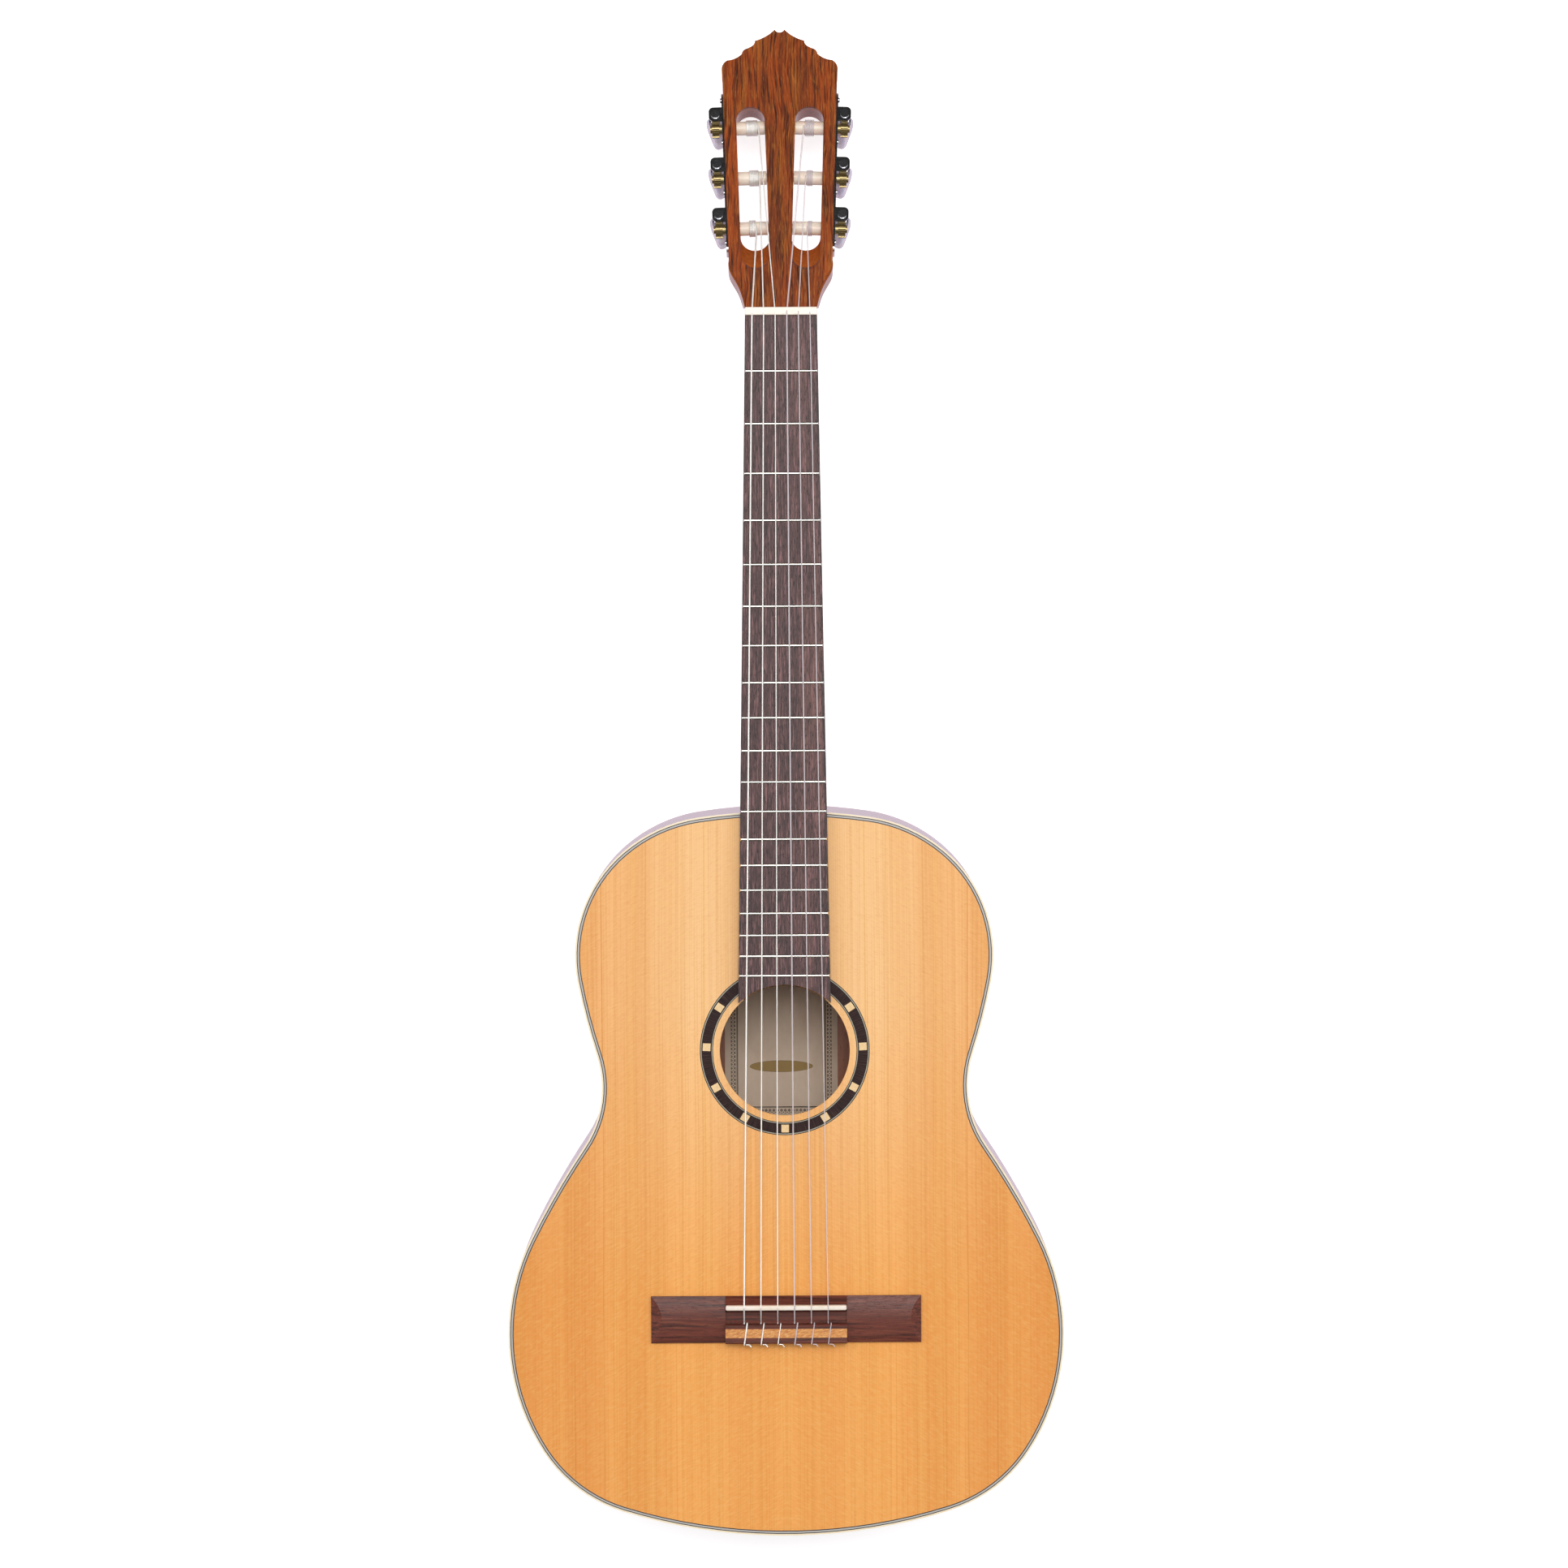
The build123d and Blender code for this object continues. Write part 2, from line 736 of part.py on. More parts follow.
def board_face(inset=0.0):
    """The fingerboard's straight sides, or the same further in, down into the sound hole's circle."""
    foot_y = hole_y + board_end_radius / 3
    with BuildSketch() as face:
        with BuildLine():
            Polyline(
                (inset - nut_half_width, nut_y),
                (nut_half_width - inset, nut_y),
                (board_half_width(foot_y) - inset, foot_y),
                (inset - board_half_width(foot_y), foot_y),
                close=True,
            )
        make_face()
    return face.sketch


with BuildPart() as board_blank:
    with BuildSketch(Plane.XY.offset(body_depth)):
        add(board_face())
        with Locations((0, hole_y)):
            Circle(board_end_radius, mode=Mode.SUBTRACT)
    extrude(amount=fingerboard_thickness)

fret_places = [fret_y(number) for number in range(1, fret_count + 1)]
with BuildPart() as fret_tangs:
    for y in fret_places:
        with Locations((0, y, fingerboard_top - tang_depth / 2)):
            Box(2 * neck_width_joint, tang_width, tang_depth)
    with BuildSketch(Plane.XY.offset(body_depth)):
        add(board_face(fret_inset))
    extrude(amount=2 * fingerboard_thickness, mode=Mode.INTERSECT)

with BuildPart() as fingerboard:
    add(board_blank.part)
    fillet(fingerboard.edges().filter_by(Axis.Z).group_by(Axis.Y)[-1], board_corner)
    add(fret_tangs.part, mode=Mode.SUBTRACT)
save(fingerboard.part, "fingerboard")

with BuildPart() as fret_room:
    for rise, inset in ((0, fret_inset), (2 * fret_height, fret_inset + 2 * fret_bevel)):
        with BuildSketch(Plane.XY.offset(fingerboard_top + rise)):
            add(board_face(inset))
    loft(ruled=True)

with BuildPart() as fret_crowns:
    for y in fret_places:
        with BuildSketch(Plane.YZ):
            with BuildLine():
                Line((y - fret_width / 2, fingerboard_top), (y + fret_width / 2, fingerboard_top))
                ThreePointArc(
                    (y - fret_width / 2, fingerboard_top),
                    (y, fingerboard_top + fret_height),
                    (y + fret_width / 2, fingerboard_top),
                )
            make_face()
        extrude(amount=board_half_width(y), both=True)
    add(fret_room.part, mode=Mode.INTERSECT)

with BuildPart() as frets:
    add(fret_crowns.part)
    add(fret_tangs.part)
save(frets.part, "frets")


# ---------------------------------------------------------------- strings and bridge
tie_front_y = bridge_front_y - bridge_width + tie_block_width
tie_back_y = bridge_front_y - bridge_width
tie_hole_z = body_depth + tie_hole_height
tie_top_z = body_depth + tie_block_height


def string_reach(number):
    """How far along the head a string's roller is: the third and fourth reach the tip."""
    return roller_reaches[number - 1] if number < 4 else roller_reaches[6 - number]


def string_route(number):
    """The points of a string from its roller over nut and saddle to the end of its loop."""
    radius = string_diameters[number - 1] / 2
    sign = 1 if number < 4 else -1
    lift = roller_radius + radius + string_gap
    landing = head_side(string_reach(number), roller_depth - lift, -landing_insets[number - 1])
    nut_x = string_x(number, nut_spread)
    tie_x = string_x(number, saddle_spread)
    loop_x = tie_x + loop_shift
    back_y = tie_back_y - radius - string_gap
    front_y = tie_front_y + radius + string_gap
    over_z = tie_top_z + radius + glue_line
    return [
        (sign * landing.X, landing.Y, landing.Z),
        (nut_x, nut_y + nut_thickness / 3, body_depth + nut_height),
        (tie_x, saddle_y, body_depth + saddle_top + radius / 2),
        (tie_x, tie_front_y + tie_entry, tie_hole_z),
        (tie_x, back_y, tie_hole_z),
        (tie_x, back_y, over_z),
        (loop_x, front_y, over_z),
        (loop_x, front_y, over_z - loop_end_drop),
    ]


def make_string(number):
    """One string with its loop, and its tail tucked behind the tie block."""
    radius = string_diameters[number - 1] / 2
    route = string_route(number)
    with BuildPart() as string:
        with BuildLine():
            path = FilletPolyline(*route, radius=list(string_bend_radii))
        with BuildSketch(Plane(origin=path @ 0, z_dir=path % 0)):
            Circle(radius)
        sweep()
        x, y, z = route[5]
        tail_start = Vector(x + 2 * radius + string_gap, y, z - 2 * radius - tail_drop)
        with BuildLine():
            points = [tail_start + Vector(*point) for point in tail_points]
            tail = FilletPolyline(*points, radius=tail_bend_radius)
        with BuildSketch(Plane(origin=tail @ 0, z_dir=tail % 0)):
            Circle(radius)
        sweep()
    return string.part


strings = []
for number in range(1, 7):
    string = make_string(number)
    save(string, f"string_{number}")
    strings.append(string)

with BuildPart() as nut:
    with Locations((0, nut_y + nut_thickness / 2, body_depth + nut_height / 2)):
        Box(neck_width_nut - 2 * nut_inset, nut_thickness, nut_height)
    fillet(nut.edges().filter_by(Axis.X).group_by(Axis.Z)[-1], nut_round)
    for string in strings:
        add(string, mode=Mode.SUBTRACT)
save(nut.part, "nut")

saddle_bottom = body_depth + saddle_seat
saddle_height = saddle_top - saddle_seat
with BuildPart() as saddle:
    with Locations((0, saddle_y, saddle_bottom + saddle_height / 2)):
        Box(saddle_length, saddle_thickness, saddle_height)
    fillet(saddle.edges().filter_by(Axis.Z), saddle_end_round)
    fillet(saddle.edges().filter_by(Axis.X).group_by(Axis.Z)[-1], saddle_round)
    for string in strings:
        add(string, mode=Mode.SUBTRACT)
save(saddle.part, "saddle")

with BuildPart() as tie_block_inlay:
    inlay_y = tie_front_y - tie_inlay_from_front - tie_inlay_width / 2
    with Locations((0, inlay_y, tie_top_z - tie_inlay_depth / 2)):
        Box(bridge_block_length, tie_inlay_width, tie_inlay_depth)
save(tie_block_inlay.part, "tie_block_inlay")

slot_front_y = saddle_y + saddle_thickness / 2 + saddle_fit
slot_back_y = saddle_y - saddle_thickness / 2 - saddle_fit
channel_z = body_depth + bridge_channel_floor
with BuildPart() as bridge:
    with BuildSketch(Plane.YZ.offset(-bridge_block_length / 2)):
        with BuildLine():
            Polyline(
                (bridge_front_y, body_depth),
                (bridge_front_y, body_depth + bridge_ramp_edge),
                (slot_front_y, body_depth + bridge_ramp_top),
                (slot_front_y, saddle_bottom),
                (slot_back_y, saddle_bottom),
                (slot_back_y, body_depth + bridge_ramp_top - bridge_channel_step),
                (slot_back_y - 2 * bridge_channel_step, channel_z),
                (tie_front_y + 2 * bridge_channel_step, channel_z),
                (tie_front_y, channel_z + bridge_channel_step),
                (tie_front_y, tie_top_z - tie_block_edge),
                (tie_front_y - tie_block_edge, tie_top_z),
                (tie_back_y + tie_block_edge, tie_top_z),
                (tie_back_y, tie_top_z - tie_block_edge),
                (tie_back_y, body_depth),
                close=True,
            )
        make_face()
    extrude(amount=bridge_block_length)
    for sign in (1, -1):
        with BuildSketch(Plane.YZ.offset(sign * bridge_block_length / 2)):
            with BuildLine():
                Polyline(
                    (bridge_front_y, body_depth + bridge_wing_edge),
                    (bridge_front_y, body_depth),
                    (tie_back_y, body_depth),
                    (tie_back_y, body_depth + bridge_wing_edge),
                )
                ThreePointArc(
                    (tie_back_y, body_depth + bridge_wing_edge),
                    ((bridge_front_y + tie_back_y) / 2, body_depth + bridge_wing_height),
                    (bridge_front_y, body_depth + bridge_wing_edge),
                )
            make_face()
        extrude(amount=sign * (bridge_length - bridge_block_length) / 2)
    with BuildSketch(Plane.XZ.offset(-bridge_front_y)):
        for sign in (1, -1):
            with BuildLine():
                Polyline(
                    (sign * bridge_length / 2, body_depth + bridge_wing_edge),
                    (sign * (bridge_length / 2 - bridge_end_slope), body_depth + bridge_wing_height),
                    (sign * bridge_length / 2, body_depth + bridge_wing_height),
                    close=True,
                )
            make_face()
    extrude(amount=bridge_width, mode=Mode.SUBTRACT)
    add(tie_block_inlay.part, mode=Mode.SUBTRACT)
    for number in range(1, 7):
        with BuildSketch(Plane.XZ.offset(-tie_front_y)):
            with Locations((string_x(number, saddle_spread), tie_hole_z)):
                Circle(string_diameters[number - 1] / 2 + tie_hole_clearance)
        extrude(amount=tie_block_width, mode=Mode.SUBTRACT)
save(bridge.part, "bridge")


# ---------------------------------------------------------------- tuning machines
def make_plate():
    """The treble plate, flat along the head's side with two lugs for each worm."""
    middle = ((plate_start + plate_end) / 2, (plate_top + plate_bottom) / 2)
    with BuildPart() as plate:
        with BuildSketch(side_level(middle[0], middle[1], 0)):
            RectangleRounded(plate_end - plate_start, plate_bottom - plate_top, lug_corner)
        extrude(amount=plate_thickness)
        for reach in roller_reaches:
            for depth in (plate_top, plate_bottom - lug_thickness):
                with BuildSketch(worm_level(reach, depth)) as lug:
                    with Locations((0, lug_centre)):
                        Rectangle(lug_width, lug_outreach - plate_thickness / 2)
                    fillet(lug.vertices().group_by(Axis.Y)[0], lug_corner)
                    Circle(journal_radius + running_clearance, mode=Mode.SUBTRACT)
                extrude(amount=-lug_thickness)
            with BuildSketch(side_level(reach, roller_depth, 0)):
                Circle(axle_radius + running_clearance)
            extrude(amount=plate_thickness, mode=Mode.SUBTRACT)
        for reach in screw_reaches:
            with BuildSketch(side_level(reach, roller_depth, 0)):
                Circle(screw_shank_radius + end_clearance)
            extrude(amount=plate_thickness, mode=Mode.SUBTRACT)
    return plate.part


def make_plate_screw(reach):
    """A domed screw that holds the plate to the head."""
    with BuildPart() as screw:
        with BuildSketch(side_level(reach, roller_depth, plate_thickness)):
            Circle(screw_head_radius)
        extrude(amount=screw_head_height)
        rims = screw.edges().filter_by(GeomType.CIRCLE)
        fillet(rims.sort_by_distance(head_side(reach, roller_depth, lug_outreach))[0], screw_head_round)
        with BuildSketch(side_level(reach, roller_depth, plate_thickness)):
            Circle(screw_shank_radius)
        extrude(amount=-screw_length)
    return screw.part


thread_top = plate_top + lug_thickness + worm_gap
thread_bottom = plate_bottom - lug_thickness - worm_gap
thread_length = thread_bottom - thread_top


def thread_point(radius, angle):
    """A point of the worm's section, from its radius and angle."""
    return (radius * cos(radians(angle)), radius * sin(radians(angle)))


def make_worm(reach):
    """The worm and its shaft, from the disc by the head's face down into the button."""
    crest = worm_crest / gear_pitch * 180
    foot = worm_foot / gear_pitch * 180
    start = 180 - 360 * (thread_bottom - roller_depth + gear_pitch / 2) / gear_pitch
    with BuildSketch() as section:
        with BuildLine():
            ThreePointArc(*[thread_point(worm_radius, start + a) for a in (-crest, 0, crest)])
            Line(thread_point(worm_radius, start + crest), thread_point(worm_core_radius, start + foot))
            ThreePointArc(
                *[thread_point(worm_core_radius, start + a) for a in (foot, 180, 360 - foot)]
            )
            Line(thread_point(worm_core_radius, start - foot), thread_point(worm_radius, start - crest))
        make_face()
    twist = 360 * thread_length / gear_pitch
    level = worm_level(reach, thread_bottom)
    thread = Solid.extrude_linear_with_rotation(
        section.sketch.face(), (0, 0, 0), (0, 0, thread_length), twist
    )
    steps = [
        (disc_radius, plate_top - end_clearance - disc_thickness, disc_thickness),
        (journal_radius, plate_top - end_clearance, thread_top - plate_top + end_clearance),
        (journal_radius, thread_bottom, plate_bottom + end_clearance - thread_bottom),
        (collar_radius, plate_bottom + end_clearance, collar_length),
    ]
    stem_top = plate_bottom + end_clearance + collar_length
    steps.append((stem_radius, stem_top, button_start + stem_seat - stem_top))
    with BuildPart() as worm:
        add(level.location * thread)
        for radius, depth, length in steps:
            with BuildSketch(worm_level(reach, depth)):
                Circle(radius)
            extrude(amount=-length)
    return worm.part


def make_button(reach):
    """A pearl button, wide across its shaft and thin, turned off the head's line."""
    half = button_width / 2
    length = button_end - button_start
    turn = radians(button_turn)
    across = along * cos(turn) + outward * sin(turn)
    level = worm_level(reach, button_start)
    upright = Plane(origin=level.origin, x_dir=across, z_dir=across.cross(head_plane.z_dir))
    with BuildPart() as button:
        with BuildSketch(upright) as outline:
            with BuildLine():
                left = [(-half * out, -length * down) for out, down in button_shares]
                right = [(-x, y) for x, y in reversed(left)]
                Polyline(*left, *right, close=True)
            make_face()
            fillet(outline.vertices(), button_corner)
        extrude(amount=button_thickness / 2, both=True)
        rims = button.faces().sort_by(lambda face: face.area)[-2:]
        fillet([edge for face in rims for edge in face.edges()], button_round)
        with BuildSketch(level):
            Circle(stem_radius + glue_line)
        extrude(amount=-stem_seat, mode=Mode.SUBTRACT)
    return button.part


def make_gear(reach):
    """The gear on the roller's axle, with its hub, and the screw that holds it on."""
    gear_start = gear_middle - gear_width / 2
    hub_start = plate_thickness + end_clearance
    root = gear_radius - gear_tooth_height
    with BuildSketch() as tooth:
        with BuildLine():
            Polyline(
                (root - gear_tooth_sink, -gear_root_width / 2),
                (root, -gear_root_width / 2),
                (gear_radius, -gear_tip_width / 2),
                (gear_radius, gear_tip_width / 2),
                (root, gear_root_width / 2),
                (root - gear_tooth_sink, gear_root_width / 2),
                close=True,
            )
        make_face()
    with BuildPart() as gear:
        with BuildSketch(side_level(reach, roller_depth, gear_start)):
            Circle(root)
            with PolarLocations(0, gear_teeth):
                add(tooth.sketch)
            Circle(axle_radius + glue_line, mode=Mode.SUBTRACT)
        extrude(amount=gear_width)
        with BuildSketch(side_level(reach, roller_depth, hub_start)):
            Circle(gear_hub_radius)
            Circle(axle_radius + glue_line, mode=Mode.SUBTRACT)
        extrude(amount=gear_start - hub_start)
    with BuildPart() as screw:
        with BuildSketch(side_level(reach, roller_depth, gear_start + gear_width)):
            Circle(gear_screw_radius)
        extrude(amount=gear_screw_height)
        with BuildSketch(side_level(reach, roller_depth, gear_start + gear_width)):
            Circle(gear_screw_shank)
        extrude(amount=-gear_screw_length)
    return Compound(children=[gear.part.solid(), screw.part.solid()])


def make_roller(reach):
    """The string roller across its slot, with a spigot in the web and an axle out to the gear."""
    inner_wall = -slot_inset - slot_end_radius
    axle_end = gear_middle + gear_width / 2
    steps = [
        (spigot_radius, inner_wall - spigot_length, spigot_length + end_clearance),
        (roller_radius, inner_wall + end_clearance, -inner_wall - 2 * end_clearance),
        (axle_radius, -end_clearance, axle_end + end_clearance),
    ]
    with BuildPart() as roller:
        for radius, start, length in steps:
            with BuildSketch(side_level(reach, roller_depth, start)):
                Circle(radius)
            extrude(amount=length)
        with BuildSketch(side_level(reach, roller_depth, axle_end)):
            Circle(gear_screw_shank + glue_line)
        extrude(amount=-gear_screw_length, mode=Mode.SUBTRACT)
    return roller.part


def make_coil(number):
    """A string's turns on its roller, outward from where it lands."""
    diameter = string_diameters[number - 1]
    turns = coil_turns[number - 1]
    inset = landing_insets[number - 1] - diameter / 2 - string_gap
    origin = head_side(string_reach(number), roller_depth, -inset)
    with BuildPart() as coil:
        with BuildSketch(Plane(origin=origin, x_dir=outward, z_dir=along)):
            with Locations((turns * diameter / 2, roller_radius + glue_line + diameter / 4)):
                Rectangle(turns * diameter, diameter / 2)
            for turn in range(turns):
                with Locations(((turn + 0.5) * diameter, roller_radius + glue_line + diameter / 2)):
                    Circle(diameter / 2)
        revolve(axis=Axis(origin, outward))
    return coil.part


def mirrored(part):
    """The same piece for the bass side."""
    return Compound(children=[solid.mirror(Plane.YZ) for solid in part.solids()])


plate = make_plate()
save(plate, "tuner_plate_treble")
save(mirrored(plate), "tuner_plate_bass")

with BuildPart() as plate_screws:
    for reach in screw_reaches:
        add(make_plate_screw(reach))
    mirror(about=Plane.YZ)
save(plate_screws.part, "plate_screws")

for number in range(1, 7):
    reach = string_reach(number)
    pieces = {
        "worm": make_worm(reach),
        "button": make_button(reach),
        "gear": make_gear(reach),
        "roller": make_roller(reach),
        "coil": make_coil(number),
    }
    for name, piece in pieces.items():
        save(piece if number < 4 else mirrored(piece), f"{name}_{number}")
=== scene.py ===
"""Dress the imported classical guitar: its woods, metals, strings and label, and a stage to show it on."""

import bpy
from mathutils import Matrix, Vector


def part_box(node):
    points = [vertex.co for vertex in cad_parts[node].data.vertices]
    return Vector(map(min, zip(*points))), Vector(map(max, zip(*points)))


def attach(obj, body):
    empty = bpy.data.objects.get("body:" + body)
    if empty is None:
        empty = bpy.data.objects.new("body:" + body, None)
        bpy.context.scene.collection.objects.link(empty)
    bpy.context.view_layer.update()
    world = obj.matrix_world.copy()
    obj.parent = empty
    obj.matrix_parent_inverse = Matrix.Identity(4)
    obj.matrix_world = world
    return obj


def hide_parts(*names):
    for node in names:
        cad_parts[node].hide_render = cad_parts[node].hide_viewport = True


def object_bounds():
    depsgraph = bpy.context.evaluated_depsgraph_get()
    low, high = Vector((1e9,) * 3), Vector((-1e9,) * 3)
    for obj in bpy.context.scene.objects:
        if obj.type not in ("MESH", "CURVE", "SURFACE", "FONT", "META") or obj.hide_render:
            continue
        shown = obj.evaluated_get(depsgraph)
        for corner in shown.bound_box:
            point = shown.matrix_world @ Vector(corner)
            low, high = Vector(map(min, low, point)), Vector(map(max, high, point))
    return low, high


bl_info = {
    "name": "Classical Guitar Finishes",
    "version": (1, 0, 0),
    "blender": (4, 5, 0),
    "location": "View3D > Sidebar > Guitar",
    "description": "Finishes and small trim for a classical guitar, with a stage to show it on",
    "category": "Object",
}

from math import cos, pi, radians, sin

import bmesh
import bpy
from bpy.props import FloatProperty, FloatVectorProperty, PointerProperty
from bpy.types import Operator, Panel, PropertyGroup
from mathutils import Matrix, Vector

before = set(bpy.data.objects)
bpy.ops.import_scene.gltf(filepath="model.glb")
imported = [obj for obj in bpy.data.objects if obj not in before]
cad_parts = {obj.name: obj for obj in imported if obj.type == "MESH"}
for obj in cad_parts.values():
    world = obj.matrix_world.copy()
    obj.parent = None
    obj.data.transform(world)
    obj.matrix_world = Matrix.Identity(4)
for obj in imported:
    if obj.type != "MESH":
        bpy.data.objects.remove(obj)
cad_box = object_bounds()

NUMBERS = range(1, 7)
TREBLE = (1, 2, 3)
BASS = (4, 5, 6)


def linear(code):
    """An sRGB hex colour as linear red, green, blue and alpha."""
    parts = [int(code[i : i + 2], 16) / 255 for i in (0, 2, 4)]
    light = [p / 12.92 if p <= 0.04045 else ((p + 0.055) / 1.055) ** 2.4 for p in parts]
    return (*light, 1.0)


def colour(name, code, description):
    """A colour that the sidebar shows."""
    return FloatVectorProperty(
        name=name, description=description, subtype="COLOR", size=4, min=0, max=1, default=linear(code)
    )


class WoodColours(PropertyGroup):
    """Ground colours of the woods, before their grain."""

    cedar_middle: colour("Cedar", "feb466", "Soundboard near its middle joint")
    cedar_edge: colour("Cedar edge", "ec9b52", "Soundboard towards its edge")
    # A paler tone painted on as sheen, where the lamp's haze lies beside the fingerboard.
    cedar_painted_sheen: colour("Upper cedar", "fed19b", "Soundboard beside the fingerboard")
    mahogany: colour("Mahogany", "7c3d22", "Sides and back")
    bare_mahogany: colour("Bare mahogany", "b4704e", "Back from inside")
    neck: colour("Neck mahogany", "9c5027", "Neck, heel and head")
    fingerboard: colour("Fingerboard rosewood", "4e3635", "Fingerboard")
    head: colour("Head rosewood", "9c430f", "Veneer on the head's face")
    bridge: colour("Bridge rosewood", "642e22", "Bridge")
    maple: colour("Maple", "f8e6c4", "Bindings round the body")
    spruce: colour("Spruce", "d8b888", "Braces and linings inside")


class TrimColours(PropertyGroup):
    """Colours of the trim that isn't wood."""

    bone: colour("Bone", "f6eadd", "Nut and saddle")
    roller: colour("Roller", "fdeede", "String rollers")
    pearl: colour("Pearl", "d3cce4", "Tuning buttons")
    brass: colour("Brass", "94835c", "Tuning gears")
    steel: colour("Plated steel", "c9c9cd", "Tuner plates, worms and screws")
    nickel: colour("Nickel silver", "d2cec6", "Frets")
    nylon: colour("Nylon", "f2e9ec", "Treble strings")
    winding: colour("Silver winding", "fbf9f5", "Bass strings")
    paper: colour("Label paper", "efd8c0", "Label inside the body")


class StageSizes(PropertyGroup):
    """The camera and the lamps."""

    camera_distance: FloatProperty(
        name="Camera distance", description="From the fingerboard", default=3.9, unit="LENGTH"
    )
    frame_width: FloatProperty(
        name="Frame width", description="Width shown at the fingerboard", default=1.029, unit="LENGTH"
    )
    camera_lead: FloatProperty(
        name="Camera lead", description="How far it stands towards the head", default=0.15, unit="LENGTH"
    )
    camera_roll: FloatProperty(
        name="Camera roll", description="Turn about the view", default=radians(0.3), subtype="ANGLE"
    )
    lamp_strength: FloatProperty(name="Lamps", description="Power of all lamps", default=1.0, min=0)
    sky_strength: FloatProperty(name="Sky", description="Light from all round", default=0.5, min=0)


# ---------------------------------------------------------------- shared shading
def add_node(tree, kind, inputs=(), stops=(), **settings):
    """Add a shader node with its settings and its ramp's stops.

    Its inputs are values, sockets or nodes, which give their first output, by name or in order.
    """
    node = tree.nodes.new("ShaderNode" + kind)
    for name, value in settings.items():
        setattr(node, name, value)
    named = inputs.items() if isinstance(inputs, dict) else enumerate(inputs)
    for name, value in named:
        if isinstance(value, bpy.types.Node):
            value = value.outputs[0]
        if isinstance(value, bpy.types.NodeSocket):
            tree.links.new(value, node.inputs[name])
        else:
            node.inputs[name].default_value = value
    if stops:
        elements = node.color_ramp.elements
        elements[0].position, elements[0].color = stops[0]
        elements[1].position, elements[1].color = stops[-1]
        for position, tint in stops[1:-1]:
            elements.new(position).color = tint
    return node


def start_material(name):
    """A material with an empty node tree."""
    material = bpy.data.materials.new(name)
    material.use_nodes = True
    material.node_tree.nodes.clear()
    return material, material.node_tree


def close_material(tree, inputs):
    """Lead the surface's inputs into its shader and out."""
    shader = add_node(tree, "BsdfPrincipled", inputs)
    add_node(tree, "OutputMaterial", {"Surface": shader})


def stain(tree, ground, *stains):
    """Lay stains over a ground colour in order, each with how much of it shows at each place."""
    shade = ground
    for share, tint in stains:
        inputs = {"Factor": share, 6: shade, 7: tint}
        shade = add_node(tree, "Mix", inputs, data_type="RGBA").outputs[2]
    return shade


def streaks(tree, place, size, levels, strength=1.0, turn=0.0, detail=3.0):
    """How strongly noise of this size in mm shows at each place, between two of its levels."""
    inputs = {"Vector": place, "Scale": [length / 1000 for length in size], "Rotation": (0, 0, turn)}
    spread = add_node(tree, "Mapping", inputs, vector_type="TEXTURE")
    inputs = {"Vector": spread, "Scale": 1.0, "Detail": detail, "Roughness": 0.6}
    noise = add_node(tree, "TexNoise", inputs)
    low, high = levels
    inputs = {"Value": noise, "From Min": low, "From Max": high, "To Max": strength}
    return add_node(tree, "MapRange", inputs)


def wandering(tree, place, amount, size):
    """Places that drift by up to this many mm over this size, so that grain isn't ruled straight."""
    inputs = {"Vector": place, "Scale": [length / 1000 for length in size]}
    spread = add_node(tree, "Mapping", inputs, vector_type="TEXTURE")
    noise = add_node(tree, "TexNoise", {"Vector": spread, "Scale": 1.0, "Detail": 1.0}).outputs["Color"]
    # Noise runs from 0 to 1 on each axis, so all places also shift alike by this amount.
    reach = [2 * part / 1000 for part in amount]
    return add_node(tree, "VectorMath", (noise, reach, place), operation="MULTIPLY_ADD")


def facing_up(tree):
    """1 where the surface faces up and 0 where it faces down."""
    normal = add_node(tree, "NewGeometry").outputs["True Normal"]
    height = add_node(tree, "SeparateXYZ", (normal,)).outputs["Z"]
    return add_node(tree, "Math", (height, 0.5), operation="GREATER_THAN")


def make_wood(
    name, ground, layers, wander, roughness, coat, pore_depth=0.0, mirrored=False, marks=(), shine=0.5
):
    """A wood, or bone, which has a grain too: its ground colour, layers of streaks over it, and a finish.

    A layer is its streaks' size in mm along X, Y and Z, the two levels of noise between which they
    show, their colour, their strength, their turn if they slant, and their detail. The last layer is
    the pores, which sink in by pore_depth in mm. wander is how far the grain drifts and over what
    size, in mm. A mark is a line along Y: its distance from the middle and half its width in mm, and
    its colour. ground and coat may be functions, where they change from place to place.
    """
    material, tree = start_material(name)
    place = add_node(tree, "TexCoord").outputs["Object"]
    if mirrored:
        x, y, z = add_node(tree, "SeparateXYZ", (place,)).outputs
        off_middle = add_node(tree, "Math", (x,), operation="ABSOLUTE")
        place = add_node(tree, "CombineXYZ", (off_middle, y, z))
    place = wandering(tree, place, *wander)
    shade = ground(tree, place) if callable(ground) else ground
    for size, levels, tint, *look in layers:
        shown = streaks(tree, place, size, levels, *look)
        shade = stain(tree, shade, (shown, linear(tint)))
    if marks:
        across = add_node(tree, "SeparateXYZ", (place,)).outputs["X"]
        # A mark comes and goes along its length.
        fade = streaks(tree, place, (60, 90, 60), (0.3, 0.6))
        for distance, half_width, tint in marks:
            line = add_node(tree, "Math", (across, distance / 1000, half_width / 1000), operation="COMPARE")
            faded = add_node(tree, "Math", (line, fade), operation="MULTIPLY")
            shade = stain(tree, shade, (faded, linear(tint)))
    coat = coat(tree) if callable(coat) else coat
    finish = {"Base Color": shade, "Roughness": roughness, "Coat Weight": coat, "Coat Roughness": 0.06}
    finish["Specular IOR Level"] = shine
    if pore_depth:
        inputs = {"Height": shown, "Strength": 1.0, "Distance": pore_depth / 1000}
        finish["Normal"] = add_node(tree, "Bump", inputs, invert=True)
    close_material(tree, finish)
    return material


